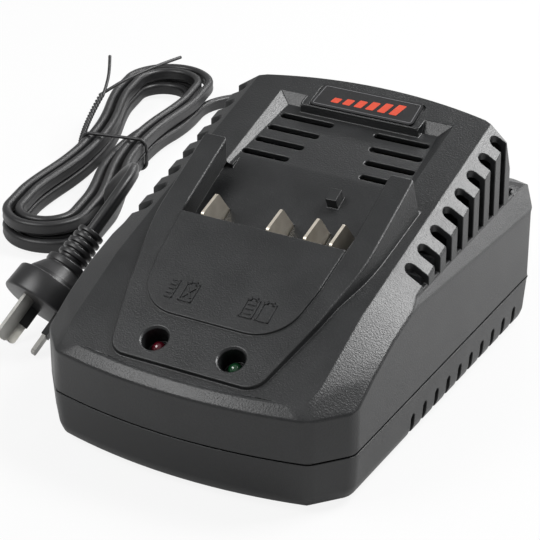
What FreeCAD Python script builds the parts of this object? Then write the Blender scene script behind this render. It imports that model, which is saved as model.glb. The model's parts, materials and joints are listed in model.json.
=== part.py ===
import FreeCAD, Part
import math
import os
import re
import Sketcher

# Power tool battery charger: a two-part moulded case around a switched supply, a sloping
# bay with four upright contact blades, and a flat mains cord tied in a hank beside it.
# All lengths are in millimetres. X runs across the charger, Y from its low front to its
# high back, and Z up from the table under its feet.

SIZES = (
    # Overall form
    ("width", 130.0, "across the seam"),
    ("length", 200.0, "front bow to back bow"),
    ("height", 95.4, "table to the back edge of the top"),
    ("wall", 2.5, "moulded wall"),
    ("seam_height", 21.0, "joint between the two halves"),
    ("foot_height", 1.5, "rubber showing under the tray"),
    ("front_bow", 6.8, "rise of the front arc"),
    ("front_corner", 53.2, "half width of the front arc"),
    ("front_facet", 14.0, "length along Y of the cut front corner"),
    ("back_bow", 6.0, "rise of the back arc"),
    ("back_corner", 50.0, "half width of the back arc"),
    ("back_facet", 16.0, "length along Y of the cut back corner"),
    # Top surfaces
    ("front_wall_drop", 56.5, "lower edge of the front chamfer, below the top"),
    ("ridge_drop", 52.8, "upper edge of the front chamfer, below the top"),
    ("chamfer_depth", 4.2, "how far the chamfer goes back"),
    ("ridge_width", 1.4, "flat on top of the front ridge"),
    ("crest_y", 50.0, "where the top changes slope, from the front"),
    ("front_slope", 23.8, "degrees, front of the top"),
    ("back_slope", 16.4, "degrees, back of the top"),
    ("top_half", 52.0, "half width of the top between its side bands"),
    ("band_slope", 29.0, "degrees, light band beside the top"),
    # Tower and shoulder
    ("tower_back", 167.8, "back bow of the tower at its top"),
    ("tower_bow", 6.5, "rise of the tower's back arc"),
    ("tower_corner", 49.0, "half width of the tower's back arc"),
    ("tower_facet", 6.0, "length along Y of the tower's cut corner"),
    ("tower_front_half", 64.4, "half width of the tower at its front"),
    ("tower_back_half", 60.2, "half width of the tower at its back"),
    ("tower_front_y", 42.0, "front end of the tower walls"),
    ("tower_lean", 20.0, "degrees, back wall of the tower"),
    ("shoulder_drop", 34.9, "foot of the tower walls, below the top"),
    ("shoulder_slope", 61.0, "degrees, side shoulder"),
    ("shelf_slope", 22.0, "degrees, shelf behind the tower"),
    # Raised plate with its two arms, tongue and battery bay
    ("plate_slope", 25.6, "degrees, slide direction of the battery"),
    ("plate_drop", 55.4, "plate plane over the front edge, below the top"),
    ("plate_front", 9.3, "front edge of the plate"),
    ("plate_front_half", 30.5, "half width of the plate at its front"),
    ("plate_corner", 8.0, "radius of the plate's front corners"),
    ("plate_mid_half", 39.2, "half width of the plate where it spreads"),
    ("plate_mid_y", 39.0, "place of that width"),
    ("arm_outer", 45.4, "half width over the two arms"),
    ("arm_full_y", 66.0, "where the arms reach that width"),
    ("arm_end_y", 105.8, "back ends of the arms"),
    ("arm_spread", 3.2, "how far the arm walls spread at their foot"),
    ("arm_depth", 14.0, "height of those walls"),
    ("bay_half", 35.2, "half width between the arms"),
    ("bay_front", 69.6, "back wall of the tongue"),
    ("crease_y", 114.8, "where the bay floor meets the slotted deck"),
    ("crease_drop", 17.0, "that crease, below the top"),
    ("deck_slope", 13.4, "degrees, slotted deck"),
    ("rail_depth", 4.0, "groove under each arm"),
    ("rail_height", 6.0, "height of that groove"),
    ("tongue_rise", 1.0, "tongue above the plate"),
    ("tongue_front", 28.4, "front edge of the tongue"),
    ("tongue_front_half", 31.5, "half width of the tongue near its front"),
    ("tongue_corner", 17.0, "radius of the tongue's front corners"),
    # Slotted deck
    ("recess_half", 38.6, "half width of the sunk deck at its rim"),
    ("recess_back_half", 33.4, "half width of its floor at the back"),
    ("recess_back", 154.8, "back rim of the sunk deck"),
    ("recess_run", 3.4, "run of its back wall"),
    ("pad_half", 26.4, "half width of the name plate's pad"),
    ("pad_front", 148.4, "front edge of that pad"),
    ("slot_rows", 4, "rows of deck slots"),
    ("slot_first", 144.4, "back row"),
    ("slot_pitch", 8.5, "row to row"),
    ("slot_width", 3.0, "slot width"),
    ("slot_inner", 9.2, "inner end of the back row"),
    ("slot_inner_step", 2.2, "how it moves out row by row"),
    ("slot_outer", 33.0, "outer end of the back row"),
    ("slot_outer_step", 1.1, "how it moves out row by row"),
    # Side vents
    ("vent_count", 9, "vents in each tower wall"),
    ("vent_first", 79.8, "front vent"),
    ("vent_pitch", 10.7, "vent to vent"),
    ("vent_width", 5.2, "vent width"),
    ("vent_inner", 54.6, "half width to the round inner ends"),
    ("tray_vent_count", 10, "vents in each tray wall"),
    ("tray_vent_first", 70.1, "front tray vent"),
    ("tray_vent_pitch", 10.6, "tray vent to tray vent"),
    ("tray_vent_width", 3.2, "tray vent width"),
    ("tray_vent_top", 12.2, "height of the tray vents"),
    # Tray
    ("tray_draft", 1.4, "how far the tray draws in at its foot"),
    ("tray_edge", 4.5, "radius of the tray's lower edge"),
    ("lip_width", 1.1, "lip that locates the two halves"),
    ("lip_height", 2.0, "its height above the seam"),
    ("fit_gap", 0.25, "clearance between pieces that fit together"),
    # Indicator wells and lamps
    ("well_half", 16.1, "half distance between the two wells"),
    ("well_y", 17.9, "wells from the front"),
    ("well_d", 10.0, "well bore"),
    ("well_depth", 8.5, "depth of a well, square to the plate"),
    ("well_rim", 0.8, "rounding of its rim"),
    ("lamp_d", 5.6, "lamp lens"),
    ("lamp_flange", 6.8, "lamp foot"),
    ("lamp_length", 9.4, "lamp over all"),
    ("lamp_depth", 4.0, "top of the lens under the plate"),
    ("lamp_foot", 1.0, "height of the lamp's foot"),
    ("lamp_board_width", 64.0, "board under the lamps"),
    ("lamp_board_depth", 12.0, "its size up the slope"),
    ("lamp_post_d", 5.0, "posts that carry it"),
    # Bay furniture
    ("key_x", 12.7, "polarity key, middle"),
    ("key_y", 104.6, "polarity key, from the front"),
    ("key_width", 4.6, "across"),
    ("key_length", 6.0, "up the slope"),
    ("key_height", 4.6, "above the floor"),
    ("blade_left", -27.0, "left contact blade across"),
    ("blade_middle", 1.2, "middle contact blade across"),
    ("blade_inner_right", 17.0, "third contact blade across"),
    ("blade_right", 27.8, "right contact blade across"),
    ("blade_thick", 1.2, "contact blade"),
    ("blade_round", 3.4, "upper front edge of a blade, under its highest point"),
    ("blade_front", 71.0, "front edge of the blades"),
    ("blade_apex_y", 82.0, "highest point"),
    ("blade_apex_drop", 18.2, "below the top"),
    ("blade_back", 91.0, "where the back edge meets the floor"),
    ("blade_tail", 15.0, "blade below the bay floor"),
    ("block_half", 33.0, "half width of the contact block"),
    ("block_front", 70.5, "front of the contact block"),
    ("block_back", 98.0, "back of the contact block"),
    ("block_thick", 7.0, "thickness of the contact block"),
    # Name plate
    ("badge_half", 23.0, "half width of the name plate"),
    ("badge_front", 149.6, "front edge of the name plate"),
    ("badge_depth", 13.8, "its size up the slope"),
    ("badge_corner", 2.0, "its corner radius"),
    ("badge_sunk", 0.8, "seat in the pad"),
    ("badge_thick", 1.3, "its thickness"),
    # Screws, bosses and feet
    ("boss_d", 8.4, "screw boss"),
    ("screw_d", 3.5, "housing screw"),
    ("screw_head_d", 6.6, "screw head"),
    ("screw_head", 2.4, "height of the head"),
    ("screw_length", 20.0, "screw under its head"),
    ("screw_front_x", 50.0, "front screws, half distance"),
    ("screw_front_y", 0.12, "front screws, share of the length"),
    ("screw_back_x", 50.0, "back screws, half distance"),
    ("screw_back_y", 0.89, "back screws, share of the length"),
    ("foot_d", 12.0, "rubber foot"),
    ("foot_sunk", 1.0, "foot seat in the tray"),
    ("foot_x", 44.0, "feet, half distance"),
    ("foot_front_y", 0.2, "front feet, share of the length"),
    ("foot_back_y", 0.8, "back feet, share of the length"),
    # Circuit board and what stands on it
    ("board_half", 46.0, "half width of the circuit board"),
    ("board_front", 0.18, "front edge of the board, share of the length"),
    ("board_back", 0.83, "back edge of the board, share of the length"),
    ("board_z", 12.0, "underside of the board"),
    ("board_thick", 1.6, "board thickness"),
    ("board_inset", 4.0, "board screws from its edges"),
    ("post_d", 6.0, "board post"),
    ("board_screw_d", 2.6, "board screw"),
    ("board_screw_head_d", 4.8, "its head"),
    ("board_screw_head", 1.8, "height of that head"),
    ("board_screw_length", 7.0, "board screw under its head"),
    ("core_width", 34.0, "transformer core across"),
    ("core_depth", 12.0, "transformer core along"),
    ("core_height", 30.0, "transformer core height"),
    ("core_limb", 6.0, "outer limb of the core"),
    ("core_centre", 10.0, "middle limb of the core"),
    ("core_y", 0.62, "transformer, share of the length"),
    ("coil_depth", 24.0, "winding along"),
    ("bulk_d", 18.0, "mains smoothing capacitor"),
    ("bulk_height", 30.0, "its height"),
    ("bulk_x", -16.0, "its place across"),
    ("bulk_y", 0.27, "its place along, share of the length"),
    ("output_d", 10.0, "output capacitors"),
    ("output_height", 20.0, "their height"),
    ("output_x", 14.0, "their place across"),
    ("output_y", 0.49, "their place along, share of the length"),
    ("choke_outer", 20.0, "line choke ring"),
    ("choke_inner", 8.0, "its bore"),
    ("choke_height", 10.0, "its height"),
    ("choke_x", 14.0, "its place across"),
    ("choke_y", 0.76, "its place along, share of the length"),
    ("film_width", 18.0, "interference capacitor"),
    ("film_depth", 8.5, "its depth"),
    ("film_height", 15.0, "its height"),
    ("film_x", -12.0, "its place across"),
    ("film_y", 0.76, "its place along, share of the length"),
    ("bridge_width", 20.0, "bridge rectifier"),
    ("bridge_depth", 3.6, "its depth"),
    ("bridge_height", 15.0, "its height"),
    ("bridge_x", 18.0, "its place across"),
    ("bridge_y", 0.25, "its place along, share of the length"),
    ("fuse_d", 8.4, "mains fuse"),
    ("fuse_height", 7.6, "its height"),
    ("fuse_x", 33.0, "its place across"),
    ("fuse_y", 0.75, "its place along, share of the length"),
    ("sink_length", 36.0, "heat sink along the board"),
    ("sink_height", 26.0, "its height"),
    ("sink_plate", 3.0, "its plate"),
    ("sink_fin", 8.0, "length of its fins"),
    ("sink_fin_thick", 1.6, "thickness of a fin"),
    ("sink_fins", 5, "fins"),
    ("sink_x", 31.0, "inner face of the plate, half distance"),
    ("sink_y", 0.62, "heat sinks, share of the length"),
    ("device_width", 10.0, "power device"),
    ("device_thick", 4.5, "its thickness"),
    ("device_height", 9.2, "its moulded part"),
    ("device_tab", 6.3, "its metal tab above that"),
    ("device_tab_thick", 1.3, "thickness of the tab"),
    ("device_lift", 5.0, "moulded part above the board"),
    ("chip_width", 6.4, "control chip across its pins"),
    ("chip_length", 9.4, "control chip"),
    ("chip_height", 3.4, "height of the chips"),
    ("chip_x", -34.0, "its place across"),
    ("chip_y", 0.42, "its place along, share of the length"),
    ("coupler_length", 4.8, "optocoupler"),
    ("coupler_y", 0.35, "its place along, share of the length"),
    ("lead_d", 2.2, "insulated lead"),
    # Cord, gland and plug
    ("cord_width", 6.2, "flat cord, wide way"),
    ("cord_thick", 4.0, "flat cord, narrow way"),
    ("cord_corner", 1.4, "its rounded edges"),
    ("gland_x", -30.0, "cord exit across"),
    ("gland_z", 13.0, "cord exit above the table"),
    ("gland_width", 9.0, "gland in the slot of the tray wall"),
    ("gland_flange", 3.0, "how far its flanges reach past the slot"),
    ("gland_flange_thick", 2.0, "thickness of a flange"),
    ("gland_grip", 6.2, "distance between the flanges"),
    ("gland_inset", 1.0, "inner face of the outer flange, before the back"),
    ("gland_sleeve", 29.0, "tapered sleeve outside"),
    ("sleeve_root", 11.0, "sleeve at the flange"),
    ("sleeve_tip", 8.0, "sleeve at its end"),
    ("jacket_length", 16.0, "cord inside the case"),
    ("clamp_width", 24.0, "cord clamp"),
    ("clamp_depth", 7.0, "cord clamp along the cord"),
    ("clamp_thick", 3.0, "cord clamp bar"),
    ("clamp_screws", 8.5, "its screws, half distance"),
    ("clamp_y", 0.92, "clamp, share of the length"),
    ("plug_x", -101.9, "face of the plug across"),
    ("plug_y", 65.5, "face of the plug from the charger's front"),
    ("plug_turn", -14.0, "degrees, way the pins point"),
    ("plug_tilt", 36.0, "degrees, face down, as it stands on its two slanted pins"),
    ("plug_height", 16.1, "middle of the face above the table"),
    ("plug_radius", 16.5, "plug body"),
    ("plug_rim", 11.0, "thickness of its round part"),
    ("plug_shoulder", 12.8, "radius of the step behind the rim"),
    ("plug_cone", 19.0, "end of the cone behind the face"),
    ("plug_neck", 8.4, "radius of the neck"),
    ("plug_neck_end", 23.0, "end of the neck behind the face"),
    ("relief_root", 7.0, "ribbed relief, radius at the neck"),
    ("relief_tip", 5.8, "ribbed relief, radius at the cord"),
    ("relief_groove", 1.3, "depth of the grooves"),
    ("relief_ribs", 5, "ribs of the relief"),
    ("plug_length", 38.0, "face to cord"),
    ("pin_width", 6.3, "plug pin"),
    ("pin_thick", 1.6, "plug pin"),
    ("pin_length", 17.1, "active and neutral from the face"),
    ("earth_length", 20.0, "earth pin from the face"),
    ("pin_root", 6.0, "pin inside the body"),
    ("pin_offset", 7.9, "active and neutral across, half distance"),
    ("pin_down", 5.0, "active and neutral below the centre, as the plug stands"),
    ("earth_up", 7.6, "earth pin above the centre"),
    ("pin_splay", 30.0, "degrees, active and neutral"),
    ("sleeve_length", 8.6, "insulating sleeve on a pin"),
    ("sleeve_wall", 0.5, "its wall"),
    # Hank, measured in its own frame: Y along its runs, from the waist
    ("hank_x", -168.0, "middle of the waist across"),
    ("hank_y", 223.0, "middle of the waist from the charger's front"),
    ("hank_turn", 12.0, "degrees, way the hank lies"),
    ("hank_runs", 9, "runs through the waist"),
    ("hank_half", 22.5, "half width at the outer loops"),
    ("hank_pitch", 5.6, "loop to loop"),
    ("hank_draw", 8.0, "how far the waist draws in"),
    ("hank_reach", 76.0, "waist to the middle of the end loops"),
    ("hank_start", 45.0, "waist to where the cord joins"),
    ("hank_low", 5.2, "height of the lower layer's middle"),
    ("hank_layer", 7.0, "layer to layer"),
    ("tie_d", 1.6, "twist tie"),
    ("tie_gap", 0.35, "tie to cord"),
)

doc = FreeCAD.newDocument("battery_charger")
sheet = doc.addObject("Spreadsheet::Sheet", "sizes")


def fill_sheet(rows):
    """Write each driving size in its own row, with its alias and its meaning."""
    for row, (alias, value, meaning) in enumerate(rows, start=1):
        sheet.set("A%d" % row, alias)
        sheet.set("B%d" % row, repr(value))
        sheet.set("C%d" % row, meaning)
        sheet.setAlias("B%d" % row, alias)
    doc.recompute()


fill_sheet(SIZES)
V = FreeCAD.Vector
pieces = []


def s(alias):
    """Value of a driving size."""
    return float(getattr(sheet, alias))


def below_top(alias):
    """Height of a place that is measured down from the back edge of the top."""
    return s("height") - s(alias)


def along(alias):
    """Distance from the front of a place given as a share of the length."""
    return s("length") * s(alias)


def at(y):
    """A place measured from the front of the charger, in its centred frame."""
    return y - s("length") / 2


def tan(alias):
    return math.tan(math.radians(s(alias)))


def slope_point(y, start_y, start_z, alias):
    """Point on a sloping plane at a distance y from the front."""
    return V(0, at(y), start_z + (y - start_y) * tan(alias))


def slope_normal(alias):
    angle = math.radians(s(alias))
    return V(0, -math.sin(angle), math.cos(angle))


def above(point, normal, inset=0.0):
    """Everything on the outer side of a plane, moved inwards by the inset."""
    normal = V(normal)
    normal.normalize()
    reach = 3 * s("length")
    block = Part.makeBox(reach, reach, reach, V(-reach / 2, -reach / 2, 0))
    block.Placement = FreeCAD.Placement(V(point) - normal * inset, FreeCAD.Rotation(V(0, 0, 1), normal))
    return block


def box(x0, x1, y0, y1, z0, z1):
    return Part.makeBox(x1 - x0, y1 - y0, z1 - z0, V(x0, y0, z0))


def face_of(points):
    return Part.Face(Part.makePolygon(points + [points[0]]))


def prism_x(outline, half):
    """A side profile, as (y, z) from the front, drawn across the charger."""
    points = [V(-half, at(y), z) for y, z in outline]
    return face_of(points).extrude(V(2 * half, 0, 0))


def rounded_outline(corners):
    """Closed wire in the XY plane through (x, y, radius) corners."""
    edges = []
    count = len(corners)
    ends = []
    for i, (x, y, radius) in enumerate(corners):
        here = V(x, y, 0)
        back = V(*corners[i - 1][:2], 0) - here
        ahead = V(*corners[(i + 1) % count][:2], 0) - here
        back.normalize()
        ahead.normalize()
        if radius <= 0:
            ends.append((here, here, None))
            continue
        half = back.getAngle(ahead) / 2
        reach = radius / math.tan(half)
        middle = back + ahead
        middle.normalize()
        centre = here + middle * (radius / math.sin(half))
        ends.append((here + back * reach, here + ahead * reach, centre - middle * radius))
    for i, (start, end, middle) in enumerate(ends):
        if middle is not None:
            edges.append(Part.Arc(start, middle, end).toShape())
        following = ends[(i + 1) % count][0]
        if (following - end).Length > 1e-6:
            edges.append(Part.LineSegment(end, following).toShape())
    return Part.Wire(edges)


def plan_wire(z, inset=0.0, front_cut=0.0):
    """Outline of the base seen from above; the front cut moves its arc and facets back."""
    half = s("width") / 2
    bow, corner, facet = s("front_bow"), s("front_corner"), s("front_facet")
    run = math.hypot(half - corner, facet)
    side_shift = front_cut * run / (half - corner)
    corner_shift = front_cut * (run - facet) / (half - corner)
    rear, rear_corner = s("length") - s("back_bow"), s("back_corner")
    front = [
        V(-corner + corner_shift, at(bow + front_cut), z),
        V(0, at(front_cut), z),
        V(corner - corner_shift, at(bow + front_cut), z),
    ]
    side = [V(half, at(bow + facet + side_shift), z), V(half, at(rear - s("back_facet")), z)]
    back = [V(rear_corner, at(rear), z), V(0, at(s("length")), z), V(-rear_corner, at(rear), z)]
    left = [V(-p.x, p.y, z) for p in reversed(side)]
    edges = [Part.Arc(*front).toShape(), Part.LineSegment(front[2], side[0]).toShape()]
    edges += [Part.LineSegment(side[0], side[1]).toShape(), Part.LineSegment(side[1], back[0]).toShape()]
    edges += [Part.Arc(*back).toShape(), Part.LineSegment(back[2], left[0]).toShape()]
    edges += [Part.LineSegment(left[0], left[1]).toShape(), Part.LineSegment(left[1], front[0]).toShape()]
    wire = Part.Wire(edges)
    return wire.makeOffset2D(-inset, 2) if inset else wire


def plan_prism(z0, z1, inset=0.0):
    return Part.Face(plan_wire(z0, inset)).extrude(V(0, 0, z1 - z0))


def loft(*wires):
    return Part.makeLoft(list(wires), True, True)


def tower_wire(z, inset):
    """Outline of the tower at a height; its back leans forward as it rises."""
    lean = (s("height") - z) * tan("tower_lean")
    back = s("tower_back") + lean
    corner_y = back - s("tower_bow")
    side_y = corner_y - s("tower_facet")
    taper = (s("tower_front_half") - s("tower_back_half")) / (side_y - s("tower_front_y"))
    back_half = s("tower_front_half") - taper * (side_y - s("tower_front_y"))
    corner = s("tower_corner")
    arc = [V(corner, at(corner_y), z), V(0, at(back), z), V(-corner, at(corner_y), z)]
    right = [V(s("tower_front_half"), at(s("tower_front_y")), z), V(back_half, at(side_y), z)]
    left = [V(-p.x, p.y, z) for p in reversed(right)]
    edges = [Part.LineSegment(left[1], right[0]).toShape(), Part.LineSegment(right[0], right[1]).toShape()]
    edges += [Part.LineSegment(right[1], arc[0]).toShape(), Part.Arc(*arc).toShape()]
    edges += [Part.LineSegment(arc[2], left[0]).toShape(), Part.LineSegment(left[0], left[1]).toShape()]
    wire = Part.Wire(edges)
    return wire.makeOffset2D(-inset, 2) if inset else wire


def crest_z():
    """Height of the crest, from the back edge of the top down its slope."""
    return s("height") - (s("tower_back") - s("crest_y")) * tan("back_slope")


def top_z(y):
    """Height of the top, without plate or recess, at a distance y from the front."""
    slope = "front_slope" if y < s("crest_y") else "back_slope"
    return crest_z() + (y - s("crest_y")) * tan(slope)


def bay_floor_z(y):
    return below_top("crease_drop") - (s("crease_y") - y) * tan("plate_slope")


def deck_z(y):
    return below_top("crease_drop") + (y - s("crease_y")) * tan("deck_slope")


def plate_z(y):
    return below_top("plate_drop") + y * tan("plate_slope")


def main_form(inset):
    """Base block and tower, cut by the top, its side bands, the shoulders and the shelf."""
    low = s("seam_height") - (1.0 if inset else 0.0)
    block = plan_prism(low, below_top("shoulder_drop"), inset)
    shoulder_tan = tan("shoulder_slope")
    taper = (s("tower_front_half") - s("tower_back_half")) / (s("tower_back") - s("tower_front_y"))
    for side in (-1, 1):
        line = V(-side * taper, 1, 0)
        across = V(side, 0, -shoulder_tan)
        normal = line.cross(across) * -side
        point = V(side * s("tower_front_half"), at(s("tower_front_y")), below_top("shoulder_drop"))
        block = block.cut(above(point, normal, inset))
    foot_y = s("tower_back") + (s("height") - below_top("shoulder_drop")) * tan("tower_lean")
    shelf = math.radians(s("shelf_slope"))
    shelf_normal = V(0, math.sin(shelf), math.cos(shelf))
    block = block.cut(above(V(0, at(foot_y), below_top("shoulder_drop")), shelf_normal, inset))
    form = block.fuse(loft(tower_wire(low, inset), tower_wire(s("height") + 4, inset)))
    crest = V(0, at(s("crest_y")), crest_z())
    for slope in ("front_slope", "back_slope"):
        form = form.cut(above(crest, slope_normal(slope), inset))
        angle = math.radians(s(slope))
        along = V(0, math.cos(angle), math.sin(angle))
        for side in (-1, 1):
            across = V(side, 0, -tan("band_slope"))
            normal = across.cross(along) * side
            point = V(side * s("top_half"), at(s("crest_y")), crest_z())
            form = form.cut(above(point, normal, inset))
    return form


def plate_placement(level=0.0):
    """Frame on the plate plane: its X across, its Y up the slope from the front edge."""
    place = V(0, at(0), below_top("plate_drop")) + slope_normal("plate_slope") * level
    return FreeCAD.Placement(place, FreeCAD.Rotation(V(1, 0, 0), s("plate_slope")))


def up_slope(y):
    """Distance up the plate plane for a distance y from the front."""
    return y / math.cos(math.radians(s("plate_slope")))


def plate_wire(level, grow):
    """Outline of the raised plate and its arms, at a depth under the plate plane."""
    half = [
        (s("plate_front_half") + grow, s("plate_front") - grow, s("plate_corner") + grow),
        (s("plate_mid_half") + grow, s("plate_mid_y"), 60.0),
        (s("arm_outer") + grow, s("arm_full_y"), 90.0),
        (s("arm_outer") + grow, s("arm_end_y") + 20, 0.0),
    ]
    right = [(x, up_slope(y), r) for x, y, r in half]
    left = [(-x, y, r) for x, y, r in reversed(right)]
    wire = rounded_outline(right + left)
    wire.Placement = plate_placement(level)
    return wire


def plate_form(inset):
    """Plate with arms, walls spreading a little towards their foot."""
    form = loft(plate_wire(-inset, -inset), plate_wire(-s("arm_depth"), s("arm_spread") - inset))
    ends = box(-100, 100, at(s("arm_end_y") - inset), at(300), -50, 200)
    return form.cut(ends)


def bay_form(grow):
    """Space between the arms that takes the battery's foot, over its sloping floor."""
    front, back = s("bay_front") - grow, s("crease_y") + 0.01
    drop = grow / math.cos(math.radians(s("plate_slope")))
    outline = [
        (front, bay_floor_z(front) - drop),
        (back, bay_floor_z(back) - drop),
        (back, 2 * s("height")),
        (front, 2 * s("height")),
    ]
    return prism_x(outline, s("bay_half") + grow)


def rail_form(grow):
    """Groove at the foot of each arm that guides the battery's rails."""
    front, back = s("bay_front") + 4 - grow, s("arm_end_y") + 3
    drop = grow / math.cos(math.radians(s("plate_slope")))
    outline = [
        (front, bay_floor_z(front) - drop),
        (back, bay_floor_z(back) - drop),
        (back, bay_floor_z(back) + s("rail_height") + drop),
        (front, bay_floor_z(front) + s("rail_height") + drop),
    ]
    return prism_x(outline, s("bay_half") + s("rail_depth") + grow)


def recess_form():
    """Sunk deck with the slots: sloping side walls and a notch each side of the name plate."""
    start, back, run = s("arm_end_y"), s("recess_back"), s("recess_run")
    low_front = V(0, at(start), deck_z(start))
    space = box(-60, 60, at(start), at(back), 0, 2 * s("height"))
    space = space.common(above(low_front, slope_normal("deck_slope")))
    rim = s("recess_half")
    for side in (-1, 1):
        a = V(side * rim, at(start), top_z(start))
        b = V(side * rim, at(back), top_z(back))
        c = V(side * s("recess_back_half"), at(back - run), deck_z(back - run))
        normal = (b - a).cross(c - a) * side
        if normal.x * side < 0:
            normal = normal * -1
        space = space.cut(above(a, normal))
    wall_top = V(0, at(back), top_z(back))
    wall_foot = V(0, at(back - run), deck_z(back - run))
    wall_normal = (wall_top - wall_foot).cross(V(1, 0, 0)) * -1
    if wall_normal.y < 0:
        wall_normal = wall_normal * -1
    space = space.cut(above(wall_foot, wall_normal))
    pad = box(-s("pad_half"), s("pad_half"), at(s("pad_front")), at(back + 20), 0, 2 * s("height"))
    return space.cut(pad)


def front_cap():
    """Limit of the front: upright wall, then the chamfer that follows arc and facets."""
    rise = below_top("ridge_drop") - below_top("front_wall_drop")
    slope_part = loft(
        plan_wire(below_top("front_wall_drop")),
        plan_wire(below_top("front_wall_drop") + 3 * rise, 0.0, 3 * s("chamfer_depth")),
    )
    low = plan_prism(s("seam_height"), below_top("front_wall_drop"))
    high_z = below_top("front_wall_drop") + 3 * rise
    high = Part.Face(plan_wire(high_z, 0.0, 3 * s("chamfer_depth"))).extrude(V(0, 0, s("height")))
    return low.fuse([slope_part, high])


def ridge_form():
    """Low ridge that runs along the top of the front chamfer."""
    inner = s("chamfer_depth") + s("ridge_width")
    low = below_top("front_wall_drop") - 4
    ring = plan_prism(low, below_top("ridge_drop"))
    hole = Part.Face(plan_wire(low - 1, 0.0, inner)).extrude(V(0, 0, 20))
    ring = ring.cut(hole)
    return ring.common(box(-100, 100, at(-5), at(s("front_bow") + s("front_facet") + inner), 0, 100))


def stadium(width, x0, x1, z0, z1):
    """Upright slot with round ends, lying along X at the middle of Y."""
    r = width / 2
    wire = rounded_outline([(x0, -r, r * 0.999), (x1, -r, r * 0.999), (x1, r, r * 0.999), (x0, r, r * 0.999)])
    solid = Part.Face(wire).extrude(V(0, 0, z1 - z0))
    solid.translate(V(0, 0, z0))
    return solid


def tower_vents():
    """Vents from the light band down over its edge to the shoulder."""
    cuts = []
    for i in range(int(s("vent_count"))):
        y = s("vent_first") + i * s("vent_pitch")
        slot = stadium(s("vent_width"), s("vent_inner"), s("width"), below_top("shoulder_drop") + 0.6, s("height") + 5)
        slot.translate(V(0, at(y), 0))
        cuts += [slot, slot.mirror(V(0, 0, 0), V(1, 0, 0))]
    return cuts


def deck_slots():
    """Rows of slots each side of the deck, square to it."""
    cuts = []
    for i in range(int(s("slot_rows"))):
        y = s("slot_first") - i * s("slot_pitch")
        x0 = s("slot_inner") + i * s("slot_inner_step")
        x1 = s("slot_outer") + i * s("slot_outer_step")
        slot = stadium(s("slot_width"), x0, x1, 0, 12)
        middle = V(0, at(y), deck_z(y)) - slope_normal("deck_slope") * 6
        slot.Placement = FreeCAD.Placement(middle, FreeCAD.Rotation(V(1, 0, 0), s("deck_slope")))
        cuts += [slot, slot.mirror(V(0, 0, 0), V(1, 0, 0))]
    return cuts


def slope_solid(shape, level, y, x=0.0):
    """Place a solid drawn at the origin square to the plate plane."""
    frame = plate_placement(level)
    shape.Placement = frame.multiply(FreeCAD.Placement(V(x, up_slope(y), 0), FreeCAD.Rotation()))
    return shape


def tongue_form():
    """Tongue in front of the bay, standing a little above the plate."""
    half = [
        (s("tongue_front_half") - 2.0, s("tongue_front"), s("tongue_corner")),
        (s("tongue_front_half") + 2.4, s("bay_front") - 18, 40.0),
        (s("bay_half"), s("bay_front"), 0.0),
    ]
    right = [(x, up_slope(y), r) for x, y, r in half]
    left = [(-x, y, r) for x, y, r in reversed(right)]
    solid = Part.Face(rounded_outline(right + left)).extrude(V(0, 0, s("tongue_rise") + 1))
    solid.Placement = plate_placement(-1.0)
    return solid.cut(box(-100, 100, at(s("bay_front")), at(300), 0, 200))


def key_form():
    """Polarity key on the bay floor."""
    half, length = s("key_width") / 2, s("key_length")
    block = box(-half, half, -length / 2, length / 2, -1.0, s("key_height"))
    place = V(s("key_x"), at(s("key_y")), bay_floor_z(s("key_y")))
    block.Placement = FreeCAD.Placement(place, FreeCAD.Rotation(V(1, 0, 0), s("plate_slope")))
    return block


def well_places():
    return [(-s("well_half"), s("well_y")), (s("well_half"), s("well_y"))]


def lamp_seat():
    """Depth of the lamp board's face under the plate plane."""
    return s("lamp_depth") + s("lamp_length")


def screw_places():
    return [
        (side * s("screw_%s_x" % end), along("screw_%s_y" % end)) for end in ("front", "back") for side in (-1, 1)
    ]


def board_posts():
    half, inset = s("board_half") - s("board_inset"), s("board_inset")
    return [(side * half, y) for y in (along("board_front") + inset, along("board_back") - inset) for side in (-1, 1)]


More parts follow.
